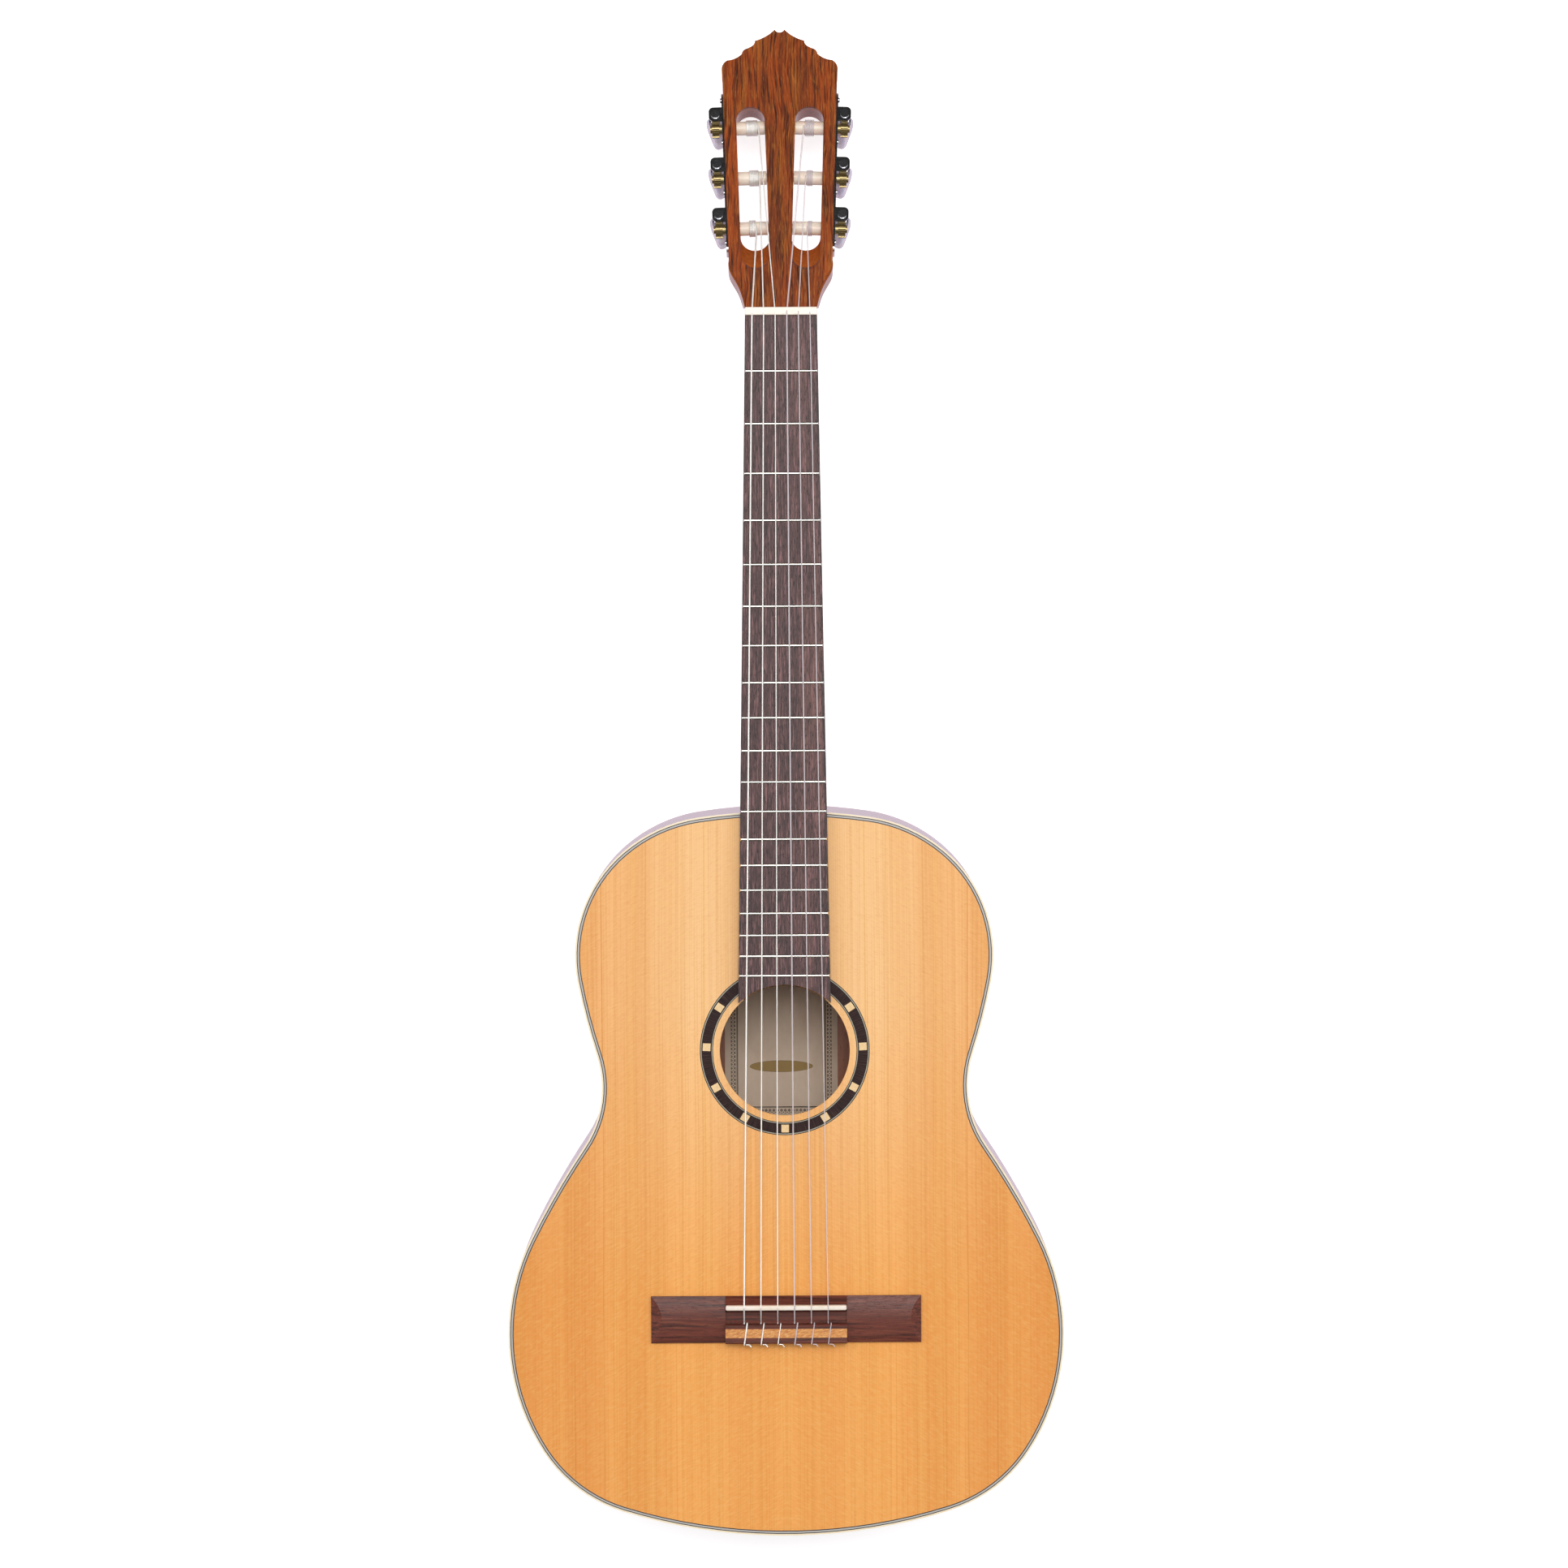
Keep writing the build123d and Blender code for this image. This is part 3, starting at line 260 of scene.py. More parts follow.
def make_metal(name, tint, roughness, scratch_size, scratch_depth):
    """A metal with a fine worked surface: marks of this size and depth in mm that rough it up a little."""
    material, tree = start_material(name)
    place = add_node(tree, "TexCoord").outputs["Object"]
    worn = streaks(tree, place, scratch_size, (0.3, 0.7))
    inputs = {"Value": worn, "To Min": roughness * 0.6, "To Max": roughness * 1.5}
    rough = add_node(tree, "MapRange", inputs)
    bump = add_node(tree, "Bump", {"Height": worn, "Distance": scratch_depth / 1000})
    close_material(tree, {"Base Color": tint, "Metallic": 1.0, "Roughness": rough, "Normal": bump})
    return material


def dress(material, *names):
    """Give CAD nodes their finish."""
    for name in names:
        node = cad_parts[name]
        if not node.material_slots:
            node.data.materials.append(material)
        for holder in node.material_slots:
            holder.material = material


def add_piece(name, mesh, body, material):
    """Turn a finished bmesh into a piece that rides on a body."""
    data = bpy.data.meshes.new(name)
    mesh.to_mesh(data)
    mesh.free()
    data.materials.append(material)
    piece = bpy.data.objects.new(name, data)
    bpy.context.scene.collection.objects.link(piece)
    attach(piece, body)
    return piece


def each(name, numbers=NUMBERS):
    """The names of a node's copies, by string."""
    return [f"{name}_{number}" for number in numbers]


# ---------------------------------------------------------------- sound box
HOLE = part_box("rosette")
HOLE_X = (HOLE[0].x + HOLE[1].x) / 2
HOLE_Y = (HOLE[0].y + HOLE[1].y) / 2
OUTER_LINES = (HOLE[1].x - HOLE[0].x) / 2
"""The rosette's outer radius, in metres."""
RIM_WIDTH = 0.0119
"""From the rosette's outer edge to the fingerboard's end, just outside the sound hole."""
RIM_HALF_ANGLE = 0.675
"""Half of the rim's arc that the fingerboard's end covers, in radians."""


def from_hole(tree):
    """How far each place is from the middle of the sound hole, in metres, and in which direction."""
    place = add_node(tree, "TexCoord").outputs["Object"]
    offset = add_node(tree, "VectorMath", (place, (HOLE_X, HOLE_Y, 0)), operation="SUBTRACT")
    flat = add_node(tree, "VectorMath", (offset, (1, 1, 0)), operation="MULTIPLY")
    length = add_node(tree, "VectorMath", (flat,), operation="LENGTH").outputs["Value"]
    x, y, _ = add_node(tree, "SeparateXYZ", (flat,)).outputs
    return length, add_node(tree, "Math", (y, x), operation="ARCTAN2")


class GUITAR_OT_finish_soundboard(Operator):
    """Finish the soundboard in satin cedar"""

    bl_idname = "guitar.finish_soundboard"
    bl_label = "Soundboard"

    def execute(self, context):
        woods = context.scene.guitar_woods

        def ground(tree, place):
            """Two matched halves in tone bands, with a painted sheen that makes them paler beside the
            fingerboard.
            """
            across, along, _ = add_node(tree, "SeparateXYZ", (place,)).outputs
            # Each band's distance from the joint in mm, and how far its tone is towards the edge's.
            bands = [(0, 0.2), (22, 0.4), (36, 0.5), (48, 0.35), (60, 0.0), (76, 0.15), (88, 0.6)]
            bands += [(104, 0.65), (116, 0.5), (132, 0.85), (144, 0.9), (156, 0.7), (170, 1.0)]
            reach = 200
            share = add_node(tree, "Math", (across, reach / 1000), operation="DIVIDE")
            greys = [(distance / reach, (tone, tone, tone, 1.0)) for distance, tone in bands]
            tone = add_node(tree, "ValToRGB", (share,), greys)
            # A painted sheen: it grows paler from 160 mm below the hole to 30 mm above it, and less so
            # further out.
            inputs = {"Value": along, "From Min": HOLE_Y - 0.16, "From Max": HOLE_Y + 0.03}
            upper = add_node(tree, "MapRange", inputs)
            inputs = {"Value": across, "From Min": 0.05, "From Max": 0.14, "To Min": 0.9, "To Max": 0.3}
            inner = add_node(tree, "MapRange", inputs)
            painted_sheen = add_node(tree, "Math", (upper, inner), operation="MULTIPLY")
            # Painted shade: the hole's rim is darkened where the fingerboard's end lies over it.
            length, angle = from_hole(tree)
            rim = add_node(tree, "Math", (length, OUTER_LINES - RIM_WIDTH), operation="LESS_THAN")
            covered = add_node(tree, "Math", (angle, pi / 2, RIM_HALF_ANGLE), operation="COMPARE")
            painted_shade = add_node(tree, "Math", (rim, covered), operation="MULTIPLY")
            stains = [(tone, woods.cedar_edge), (painted_sheen, woods.cedar_painted_sheen), (painted_shade, linear("463330"))]
            return stain(tree, woods.cedar_middle, *stains)

        # Western red cedar, quartersawn and book-matched, sprayed with satin lacquer: close straight
        # growth lines, wide tone bands and short silky flecks that slant across the grain.
        layers = [
            ((18, 500, 18), (0.42, 0.72), "e39545", 0.28),
            ((6, 400, 6), (0.5, 0.75), "ffc873", 0.25),
            ((1.05, 420, 1.05), (0.46, 0.66), "d08536", 0.3),
            ((4.5, 1.0, 4.5), (0.46, 0.68), "ffd488", 0.22, -0.45),
            ((3, 0.8, 3), (0.5, 0.74), "cc7a2c", 0.2, -0.45),
        ]
        # Two darker growth lines on each half, and the joint between the halves.
        marks = [(121.5, 0.24, "d88f49"), (141.0, 0.18, "cb8648"), (0.0, 0.12, "c68a4a")]
        wander = ((1.4, 0, 0), (90, 200, 90))
        cedar = make_wood("Satin cedar", ground, layers, wander, 0.5, 0.0, 0.012, True, marks, shine=0.06)
        dress(cedar, "soundboard")
        return {"FINISHED"}


class GUITAR_OT_finish_sound_box(Operator):
    """Finish the sides, back and bindings in gloss lacquer, and the bare wood inside"""

    bl_idname = "guitar.finish_sound_box"
    bl_label = "Sides, back and inside"

    def execute(self, context):
        woods = context.scene.guitar_woods
        # Mahogany under thick clear gloss: reddish brown ribbons, with short dark pores that sink in.
        layers = [
            ((40, 240, 14), (0.4, 0.7), "9a5430", 0.55),
            ((7, 200, 3), (0.45, 0.7), "5c2a17", 0.45),
            ((3, 60, 1.2), (0.55, 0.75), "a9653c", 0.3),
            ((0.5, 5, 0.35), (0.62, 0.7), "35170c", 0.75),
        ]
        wander = ((1.5, 0, 1.0), (60, 140, 60))
        # A dark strip between two pale lines covers the back's middle joint.
        marks = [(1.6, 0.4, "e8d2a8"), (0.0, 1.2, "3a1c10")]

        def ground(tree, place):
            """Stained and lacquered below, bare wood above."""
            return stain(tree, woods.mahogany, (facing_up(tree), woods.bare_mahogany))

        def coat(tree):
            """Lacquer on the outside alone."""
            return add_node(tree, "Math", (1.0, facing_up(tree)), operation="SUBTRACT")

        back = make_wood("Gloss mahogany back", ground, layers, wander, 0.35, coat, 0.02, True, marks)
        dress(back, "back_plate")
        # On a bent side the grain follows the bend, so it hardly changes along X and Y.
        layers = [
            ((200, 200, 14), (0.4, 0.7), "9a5430", 0.55),
            ((120, 120, 3), (0.45, 0.7), "5c2a17", 0.45),
            ((50, 50, 1.2), (0.55, 0.75), "a9653c", 0.3),
            ((5, 5, 0.35), (0.62, 0.7), "35170c", 0.75),
        ]
        wander = ((0, 0, 2.0), (80, 80, 60))
        sides = make_wood("Gloss mahogany side", woods.mahogany, layers, wander, 0.3, 1.0, 0.02)
        dress(sides, "side_bass", "side_treble")
        # Maple strips under the same gloss: nearly white, with faint flame.
        layers = [
            ((30, 30, 3), (0.45, 0.7), "e9cf9f", 0.45),
            ((2.5, 2.5, 9), (0.45, 0.75), "fff3dc", 0.4),
            ((0.6, 0.6, 0.6), (0.6, 0.75), "dcbd8a", 0.25),
        ]
        maple = make_wood("Gloss maple", woods.maple, layers, ((0.5, 0.5, 0.5), (20, 20, 20)), 0.3, 1.0)
        dress(maple, "bindings")
        # Spruce left bare from the plane: pale, straight grained and dull.
        layers = [
            ((3, 120, 1.4), (0.45, 0.65), "b98d58", 0.45),
            ((30, 60, 30), (0.4, 0.7), "c9a26c", 0.4),
            ((0.4, 4, 0.4), (0.6, 0.75), "a87c4a", 0.35),
        ]
        spruce = make_wood("Bare spruce", woods.spruce, layers, ((1, 0, 1), (50, 80, 50)), 0.7, 0.0, 0.05)
        dress(spruce, "soundboard_braces", "back_braces", "linings")
        return {"FINISHED"}


class GUITAR_OT_lay_edge_lines(Operator):
    """Lay the black and pale lines inside the bindings, which follow the body's edge"""

    bl_idname = "guitar.lay_edge_lines"
    bl_label = "Edge lines"

    def execute(self, context):
        mesh = bmesh.new()
        mesh.from_mesh(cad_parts["purfling"].data)
        bmesh.ops.remove_doubles(mesh, verts=mesh.verts, dist=1e-6)
        # 0 along the inner wall and 1 along the outer one; a new layer comes before any vertex is kept.
        across = mesh.verts.layers.float.new("across")
        # The two walls are parts that hang together through upright faces.
        loose = set(mesh.verts)
        walls = []
        while loose:
            found = [loose.pop()]
            wall = []
            while found:
                vert = found.pop()
                wall.append(vert)
                upright = [face for face in vert.link_faces if abs(face.normal.z) < 0.5]
                near = {other for face in upright for other in face.verts} & loose
                loose -= near
                found.extend(near)
            walls.append(wall)
        outer = max(walls, key=lambda wall: max(vert.co.x for vert in wall))
        # The outer black line is let a little way into the maple binding.
        let_in = 0.0004
        for vert in outer:
            vert[across] = 1.0
            vert.co += Vector((vert.normal.x, vert.normal.y, 0)).normalized() * let_in
        # The top stands a hair proud, so that it covers the bindings there.
        proud = 0.00002
        top = max(vert.co.z for vert in mesh.verts)
        raised = [vert for vert in mesh.verts if vert.co.z > top - 0.0001]
        bmesh.ops.translate(mesh, verts=raised, vec=(0, 0, proud))
        material, tree = start_material("Black and pale veneer lines")
        # Dyed black and natural pale veneers glued in a sandwich, flush under the top's lacquer.
        share = add_node(tree, "Attribute", attribute_name="across").outputs["Fac"]
        black, pale = linear("2c2422"), linear("bcb9b6")
        lines = add_node(tree, "ValToRGB", (share,), [(0.0, black), (0.3, pale), (0.73, black)])
        lines.color_ramp.interpolation = "CONSTANT"
        place = add_node(tree, "TexCoord").outputs["Object"]
        worn = streaks(tree, place, (3, 3, 3), (0.4, 0.7), 0.15)
        shade = stain(tree, lines, (worn, linear("8c8272")))
        close_material(tree, {"Base Color": shade, "Roughness": 0.35})
        piece = add_piece("edge_lines", mesh, "guitar", material)
        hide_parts("purfling")
        return {"FINISHED"}


class GUITAR_OT_finish_rosette(Operator):
    """Finish the rosette's dark ring, its lines and its pale inlays"""

    bl_idname = "guitar.finish_rosette"
    bl_label = "Rosette"

    def execute(self, context):
        # A ring of dark wood with its grain across it, between black and pale veneer lines.
        material, tree = start_material("Dark rosette wood and lines")
        length, angle = from_hole(tree)
        spoke = add_node(tree, "Math", (angle, 90.0), operation="MULTIPLY")
        along = add_node(tree, "Math", (length, 60.0), operation="MULTIPLY")
        round_place = add_node(tree, "CombineXYZ", (spoke, along))
        grain = add_node(tree, "TexNoise", {"Vector": round_place, "Scale": 1.0, "Detail": 3.0})
        tints = [(0.35, linear("1f1413")), (0.55, linear("372725")), (0.7, linear("4c3733"))]
        wood = add_node(tree, "ValToRGB", (grain,), tints)
        pale, black = linear("a9a596"), linear("2a2220")
        edge = OUTER_LINES * 1000
        inner = edge - 8.6
        # Inside each radius in mm comes the next line or ring, from the outer black line in.
        rings = [
            (edge - 0.5, pale),
            (edge - 1.1, black),
            (edge - 1.5, wood),
            (inner + 1.3, black),
            (inner + 0.95, pale),
            (inner + 0.4, black),
        ]
        shade = black
        for radius, tint in rings:
            inside = add_node(tree, "Math", (length, radius / 1000), operation="LESS_THAN")
            shade = stain(tree, shade, (inside, tint))
        close_material(tree, {"Base Color": shade, "Roughness": 0.45, "Specular IOR Level": 0.1})
        dress(material, "rosette")
        # Small blocks of figured maple, lacquered with the top.
        layers = [
            ((2.5, 2.5, 2.5), (0.4, 0.7), "d9ab6a", 0.4),
            ((0.5, 2.5, 0.5), (0.5, 0.7), "fbe3b6", 0.4),
        ]
        wander = ((0.3, 0, 0), (9, 9, 9))
        maple = make_wood("Maple rosette blocks", linear("f0cd95"), layers, wander, 0.35, 0.2)
        dress(maple, "rosette_inlays")
        return {"FINISHED"}


class GUITAR_OT_finish_label(Operator):
    """Print a plain bordered label"""

    bl_idname = "guitar.finish_label"
    bl_label = "Label"

    def execute(self, context):
        low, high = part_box("label")
        middle = (low + high) / 2
        half = (high - low) / 2
        material, tree = start_material("Printed label paper")
        place = add_node(tree, "TexCoord").outputs["Object"]
        offset = add_node(tree, "VectorMath", (place, (middle.x, middle.y, 0)), operation="SUBTRACT")
        folded = add_node(tree, "VectorMath", (offset,), operation="ABSOLUTE")
        x, y, _ = add_node(tree, "SeparateXYZ", (folded,)).outputs
        # Laid paper yellowed unevenly, printed with a double rule, a band of small rings and an oval.
        foxed = streaks(tree, place, (14, 22, 14), (0.35, 0.75), 0.35)
        stains = [(foxed, linear("c9a68a"))]
        ink = linear("211b18")
        from_side = add_node(tree, "Math", (half.x, x), operation="SUBTRACT")
        from_end = add_node(tree, "Math", (half.y, y), operation="SUBTRACT")
        edge = add_node(tree, "Math", (from_side, from_end), operation="MINIMUM")
        # How far each rule lies from the paper's edge and half its width, in metres.
        for distance, half_width in ((0.0079, 0.00012), (0.0085, 0.00025)):
            rule = add_node(tree, "Math", (edge, distance, half_width), operation="COMPARE")
            stains.append((rule, ink))
        # Rings and dots in a square grid, printed in a band just outside the rules.
        pitch = 0.0026
        waves = []
        for along in (x, y):
            angle = add_node(tree, "Math", (along, 2 * pi / pitch), operation="MULTIPLY")
            waves.append(add_node(tree, "Math", (angle,), operation="COSINE"))
        bumps = add_node(tree, "Math", waves, operation="ADD")
        ring = add_node(tree, "Math", (bumps, 0.75, 0.5), operation="COMPARE")
        height = add_node(tree, "Math", (bumps,), operation="ABSOLUTE")
        dot = add_node(tree, "Math", (height, 2.0, 0.4), operation="COMPARE")
        motif = add_node(tree, "Math", (ring, dot), operation="MAXIMUM")
        band = add_node(tree, "Math", (edge, 0.0056, 0.0016), operation="COMPARE")
        printed = add_node(tree, "Math", (motif, band), operation="MULTIPLY")
        thin_ink = add_node(tree, "Math", (printed, 0.9), operation="MULTIPLY")
        stains.append((thin_ink, ink))
        # An oval below the middle, with a darker rim.
        drop = 0.017
        along = add_node(tree, "SeparateXYZ", (offset,)).outputs["Y"]
        lower = add_node(tree, "Math", (along, drop), operation="ADD")
        for half_length, half_height, tint in ((0.0213, 0.0039, "7a6138"), (0.0211, 0.0037, "b0905a")):
            squares = []
            for distance, reach in ((x, half_length), (lower, half_height)):
                share = add_node(tree, "Math", (distance, reach), operation="DIVIDE")
                squares.append(add_node(tree, "Math", (share, 2.0), operation="POWER"))
            total = add_node(tree, "Math", squares, operation="ADD")
            oval = add_node(tree, "Math", (total, 1.0), operation="LESS_THAN")
            stains.append((oval, linear(tint)))
        shade = stain(tree, context.scene.guitar_trim.paper, *stains)
        close_material(tree, {"Base Color": shade, "Roughness": 0.8})
        dress(material, "label")
        return {"FINISHED"}


# ---------------------------------------------------------------- neck and head
class GUITAR_OT_finish_neck(Operator):
    """Finish the neck and the tail block, the fingerboard, the frets, the nut and the saddle"""

    bl_idname = "guitar.finish_neck"
    bl_label = "Neck"

    def execute(self, context):
        woods = context.scene.guitar_woods
        trim = context.scene.guitar_trim
        # Mahogany cut along the neck, stained a warm orange brown, under clear gloss.
        layers = [
            ((14, 260, 14), (0.4, 0.7), "b56a34", 0.5),
            ((3, 160, 3), (0.45, 0.7), "7c3a1a", 0.4),
            ((0.45, 5, 0.45), (0.62, 0.7), "47200e", 0.7),
        ]
        wander = ((1.5, 0, 1.5), (60, 140, 60))
        # The ramps' middle along the neck, half their length, and how far out they reach.
        ramp_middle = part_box("nut")[1].y + 0.0305
        ramp_half = 0.015
        ramp_side = 0.0262

        def ramps(tree):
            """1 on the ramps at the near ends of the head's slots."""
            place = add_node(tree, "TexCoord").outputs["Object"]
            x, y, _ = add_node(tree, "SeparateXYZ", (place,)).outputs
            off_middle = add_node(tree, "Math", (x,), operation="ABSOLUTE")
            along = add_node(tree, "Math", (y, ramp_middle, ramp_half), operation="COMPARE")
            between = add_node(tree, "Math", (off_middle, ramp_side), operation="LESS_THAN")
            return add_node(tree, "Math", (along, between), operation="MULTIPLY")

        def ground(tree, place):
            """The ramps are a lighter orange brown."""
            return stain(tree, woods.neck, (ramps(tree), linear("b8602c")))

        def coat(tree):
            """Gloss all over but on the ramps."""
            return add_node(tree, "Math", (1.0, ramps(tree)), operation="SUBTRACT")

        mahogany = make_wood("Gloss mahogany neck", ground, layers, wander, 0.3, coat, 0.02, shine=0.0)
        dress(mahogany, "neck", "tail_block")

        low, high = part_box("fingerboard")
        # Half of the fingerboard's width at the nut.
        nut_half = 0.0236

        def board(tree, place):
            """Indian rosewood, redder towards the treble side, with painted shade darkening it along its
            edges.
            """
            x, y, _ = add_node(tree, "SeparateXYZ", (place,)).outputs
            redder = add_node(tree, "MapRange", {"Value": x, "From Min": 0.004, "From Max": 0.022})
            patches = streaks(tree, place, (9, 160, 9), (0.42, 0.6))
            patchy = add_node(tree, "Math", (redder, patches), operation="MULTIPLY")
            # The board widens from the nut to its end, and the painted edge shade with it.
            widening = (high.x - nut_half) / (high.y - low.y)
            from_nut = add_node(tree, "Math", (high.y, y), operation="SUBTRACT")
            half = add_node(tree, "Math", (from_nut, widening, nut_half), operation="MULTIPLY_ADD")
            off_middle = add_node(tree, "Math", (x,), operation="ABSOLUTE")
            gap = add_node(tree, "Math", (half, off_middle), operation="SUBTRACT")
            inputs = {"Value": gap, "From Min": 0.0004, "From Max": 0.0022, "To Min": 0.85, "To Max": 0.0}
            painted_edge_shade = add_node(tree, "MapRange", inputs)
            stains = [(patchy, linear("74524c")), (painted_edge_shade, linear("2a2224"))]
            return stain(tree, woods.fingerboard, *stains)

        # Oiled, not lacquered, so it is dull, with dark streaks and open pores a few mm long.
        layers = [
            ((6, 150, 6), (0.5, 0.72), "3d2828", 0.6),
            ((1.7, 60, 1.7), (0.54, 0.68), "352325", 0.65),
            ((0.8, 16, 0.8), (0.5, 0.68), "a07172", 0.65),
            ((0.45, 4, 0.45), (0.54, 0.64), "1b1214", 0.9),
        ]
        wander = ((0.8, 0, 0), (30, 70, 30))
        rosewood = make_wood("Oiled rosewood fingerboard", board, layers, wander, 0.5, 0.0, 0.03, shine=0.4)
        dress(rosewood, "fingerboard")
        # Nickel silver wire, crowned and polished across the board.
        dress(make_metal("Polished nickel silver", trim.nickel, 0.16, (6, 0.3, 0.3), 0.004), "frets")
        # Bleached bone, sawn and polished by hand: warm white with faint lengthwise fibres.
        layers = [
            ((14, 5, 5), (0.4, 0.7), "ead9b8", 0.5),
            ((5, 0.5, 0.5), (0.5, 0.7), "fffaf0", 0.4),
            ((1.2, 0.2, 0.2), (0.62, 0.72), "cdb88f", 0.3),
        ]
        bone = make_wood("Polished bone", trim.bone, layers, ((0.3, 0.3, 0), (12, 12, 12)), 0.3, 0.2)
        dress(bone, "nut", "saddle")
        return {"FINISHED"}


class GUITAR_OT_finish_head(Operator):
    """Finish the head's rosewood veneer"""

    bl_idname = "guitar.finish_head"
    bl_label = "Head veneer"

    def execute(self, context):
        # Santos rosewood veneer under gloss: warm brown with wavering near-black lines and short pores.
        layers = [
            ((13, 110, 60), (0.4, 0.62), "7c3812", 0.75, 0, 1),
            ((8, 60, 60), (0.5, 0.66), "b0661f", 0.5, 0, 1),
            ((2.4, 44, 60), (0.5, 0.64), "55230c", 0.75, 0, 2),
            ((1.1, 28, 60), (0.5, 0.63), "240d06", 0.8, 0, 2),
            ((0.7, 9, 60), (0.52, 0.72), "cb8038", 0.4, 0, 2),
            ((0.35, 3, 12), (0.58, 0.68), "261009", 0.55),
        ]

        def coat(tree):
            """Gloss on the face, and none in the slots."""
            return add_node(tree, "Math", (facing_up(tree), 0.4), operation="MULTIPLY")

        # The head slopes, so its grain hardly changes along Z.
        ground = context.scene.guitar_woods.head
        wander = ((2.6, 0, 0), (24, 30, 200))
        rosewood = make_wood("Gloss rosewood veneer", ground, layers, wander, 0.35, coat, 0.02, shine=0.2)
        dress(rosewood, "head_veneer")
        return {"FINISHED"}


class GUITAR_OT_finish_bridge(Operator):
    """Finish the bridge and the inlay on its tie block"""

    bl_idname = "guitar.finish_bridge"
    bl_label = "Bridge"

    def execute(self, context):
        # Rosewood with its grain across the guitar, rubbed with oil to a soft shine.
        layers = [
            ((110, 7, 7), (0.42, 0.7), "82473a", 0.5, 0, 1),
            ((70, 1.8, 1.8), (0.5, 0.62), "371a16", 0.8, 0, 1.5),
            ((30, 0.9, 0.9), (0.5, 0.7), "96583f", 0.45),
            ((5, 0.45, 0.45), (0.56, 0.66), "281210", 0.7),
        ]
        ground = context.scene.guitar_woods.bridge
        wander = ((0, 2.6, 0), (70, 30, 30))
        rosewood = make_wood("Oiled rosewood bridge", ground, layers, wander, 0.38, 0.0, 0.03, shine=0.3)
        dress(rosewood, "bridge")
        # Lacewood: orange brown with rows of small pale flecks.
        layers = [
            ((4, 1.2, 4), (0.46, 0.6), "b2672a", 0.75, 0.3),
            ((3, 0.9, 3), (0.5, 0.64), "f2bb74", 0.65, 0.3),
            ((0.9, 0.5, 0.9), (0.6, 0.7), "7c4018", 0.6),
        ]
        wander = ((0.6, 0.3, 0), (9, 9, 9))
        lacewood = make_wood("Lacquered lacewood", linear("dc9248"), layers, wander, 0.3, 0.4)
        dress(lacewood, "tie_block_inlay")
        return {"FINISHED"}


# ---------------------------------------------------------------- strings
class GUITAR_OT_finish_strings(Operator):
    """Finish the clear trebles and the silver-wound basses"""

    bl_idname = "guitar.finish_strings"
    bl_label = "Strings"

    def execute(self, context):
        trim = context.scene.guitar_trim
        # Extruded clear nylon: half of what lies under it shows through, with a faint milky cloud.
        material, tree = start_material("Clear nylon")
        place = add_node(tree, "TexCoord").outputs["Object"]
        cloud = streaks(tree, place, (3, 30, 3), (0.3, 0.7), 0.5)
        shade = stain(tree, trim.nylon, (cloud, linear("d8ccd3")))
        close_material(tree, {"Base Color": shade, "Roughness": 0.2, "IOR": 1.53, "Alpha": 0.5})
        dress(material, *each("string", TREBLE), *each("coil", TREBLE))
        # Silver-plated wire 0.2 mm thick wound on a core, drawn twice as coarse so that it shows.
        material, tree = start_material("Silver-plated winding")
        place = add_node(tree, "TexCoord").outputs["Object"]
        along = add_node(tree, "SeparateXYZ", (place,)).outputs["Y"]
        pitch = 0.0004
        angle = add_node(tree, "Math", (along, 2 * pi / pitch), operation="MULTIPLY")
        turns = add_node(tree, "Math", (angle,), operation="SINE")
        bump = add_node(tree, "Bump", {"Height": turns, "Distance": 0.00002})
        dull = streaks(tree, place, (3, 40, 3), (0.35, 0.7), 0.5)
        shade = stain(tree, trim.winding, (dull, linear("dcd7cd")))
        close_material(tree, {"Base Color": shade, "Metallic": 0.4, "Roughness": 0.32, "Normal": bump})
        dress(material, *each("string", BASS), *each("coil", BASS))
        return {"FINISHED"}


# ---------------------------------------------------------------- tuning machines
class GUITAR_OT_finish_tuners(Operator):
    """Finish the tuning machines, their rollers and their buttons"""

    bl_idname = "guitar.finish_tuners"
    bl_label = "Tuning machines"

    def execute(self, context):
        trim = context.scene.guitar_trim
        # Pressed steel, polished and nickel plated: it mirrors what is round it.
        plate = make_metal("Plated pressed steel", trim.steel, 0.1, (1.2, 1.2, 1.2), 0.003)
        dress(plate, "tuner_plate_bass", "tuner_plate_treble", "plate_screws")
        worm = make_metal("Plated turned steel", trim.steel, 0.12, (0.4, 0.4, 0.2), 0.003)
        dress(worm, *each("worm"))
        dress(make_metal("Turned brass", trim.brass, 0.3, (0.3, 0.3, 0.3), 0.006), *each("gear"))
        # Moulded cream ABS: slightly soft to light, with faint flow marks.
        material, tree = start_material("Moulded cream ABS")
        place = add_node(tree, "TexCoord").outputs["Object"]
        flow = streaks(tree, place, (6, 3, 3), (0.35, 0.7), 0.4)
        shade = stain(tree, trim.roller, (flow, linear("dfc7a8")))
        finish = {"Base Color": shade, "Roughness": 0.35}
        finish.update({"Subsurface Weight": 0.15, "Subsurface Scale": 0.002})
        close_material(tree, finish)
        dress(material, *each("roller"))
        # Cast pearloid: folded sheets of lilac, white and grey in clear acrylic, polished.
        material, tree = start_material("Cast pearloid")
        place = add_node(tree, "TexCoord").outputs["Object"]
        folded = wandering(tree, place, (4, 4, 4), (7, 7, 7))
        white = streaks(tree, folded, (6, 6, 2.5), (0.42, 0.62), 0.8)
        grey = streaks(tree, folded, (4, 4, 1.6), (0.52, 0.68), 0.5)
        shade = stain(tree, trim.pearl, (white, linear("ece8f4")), (grey, linear("aaa2c0")))
        finish = {"Base Color": shade, "Roughness": 0.25, "Coat Weight": 1.0, "Coat Roughness": 0.03}
        finish.update({"Subsurface Weight": 0.3, "Subsurface Scale": 0.004})
        close_material(tree, finish)
        dress(material, *each("button"))
        return {"FINISHED"}


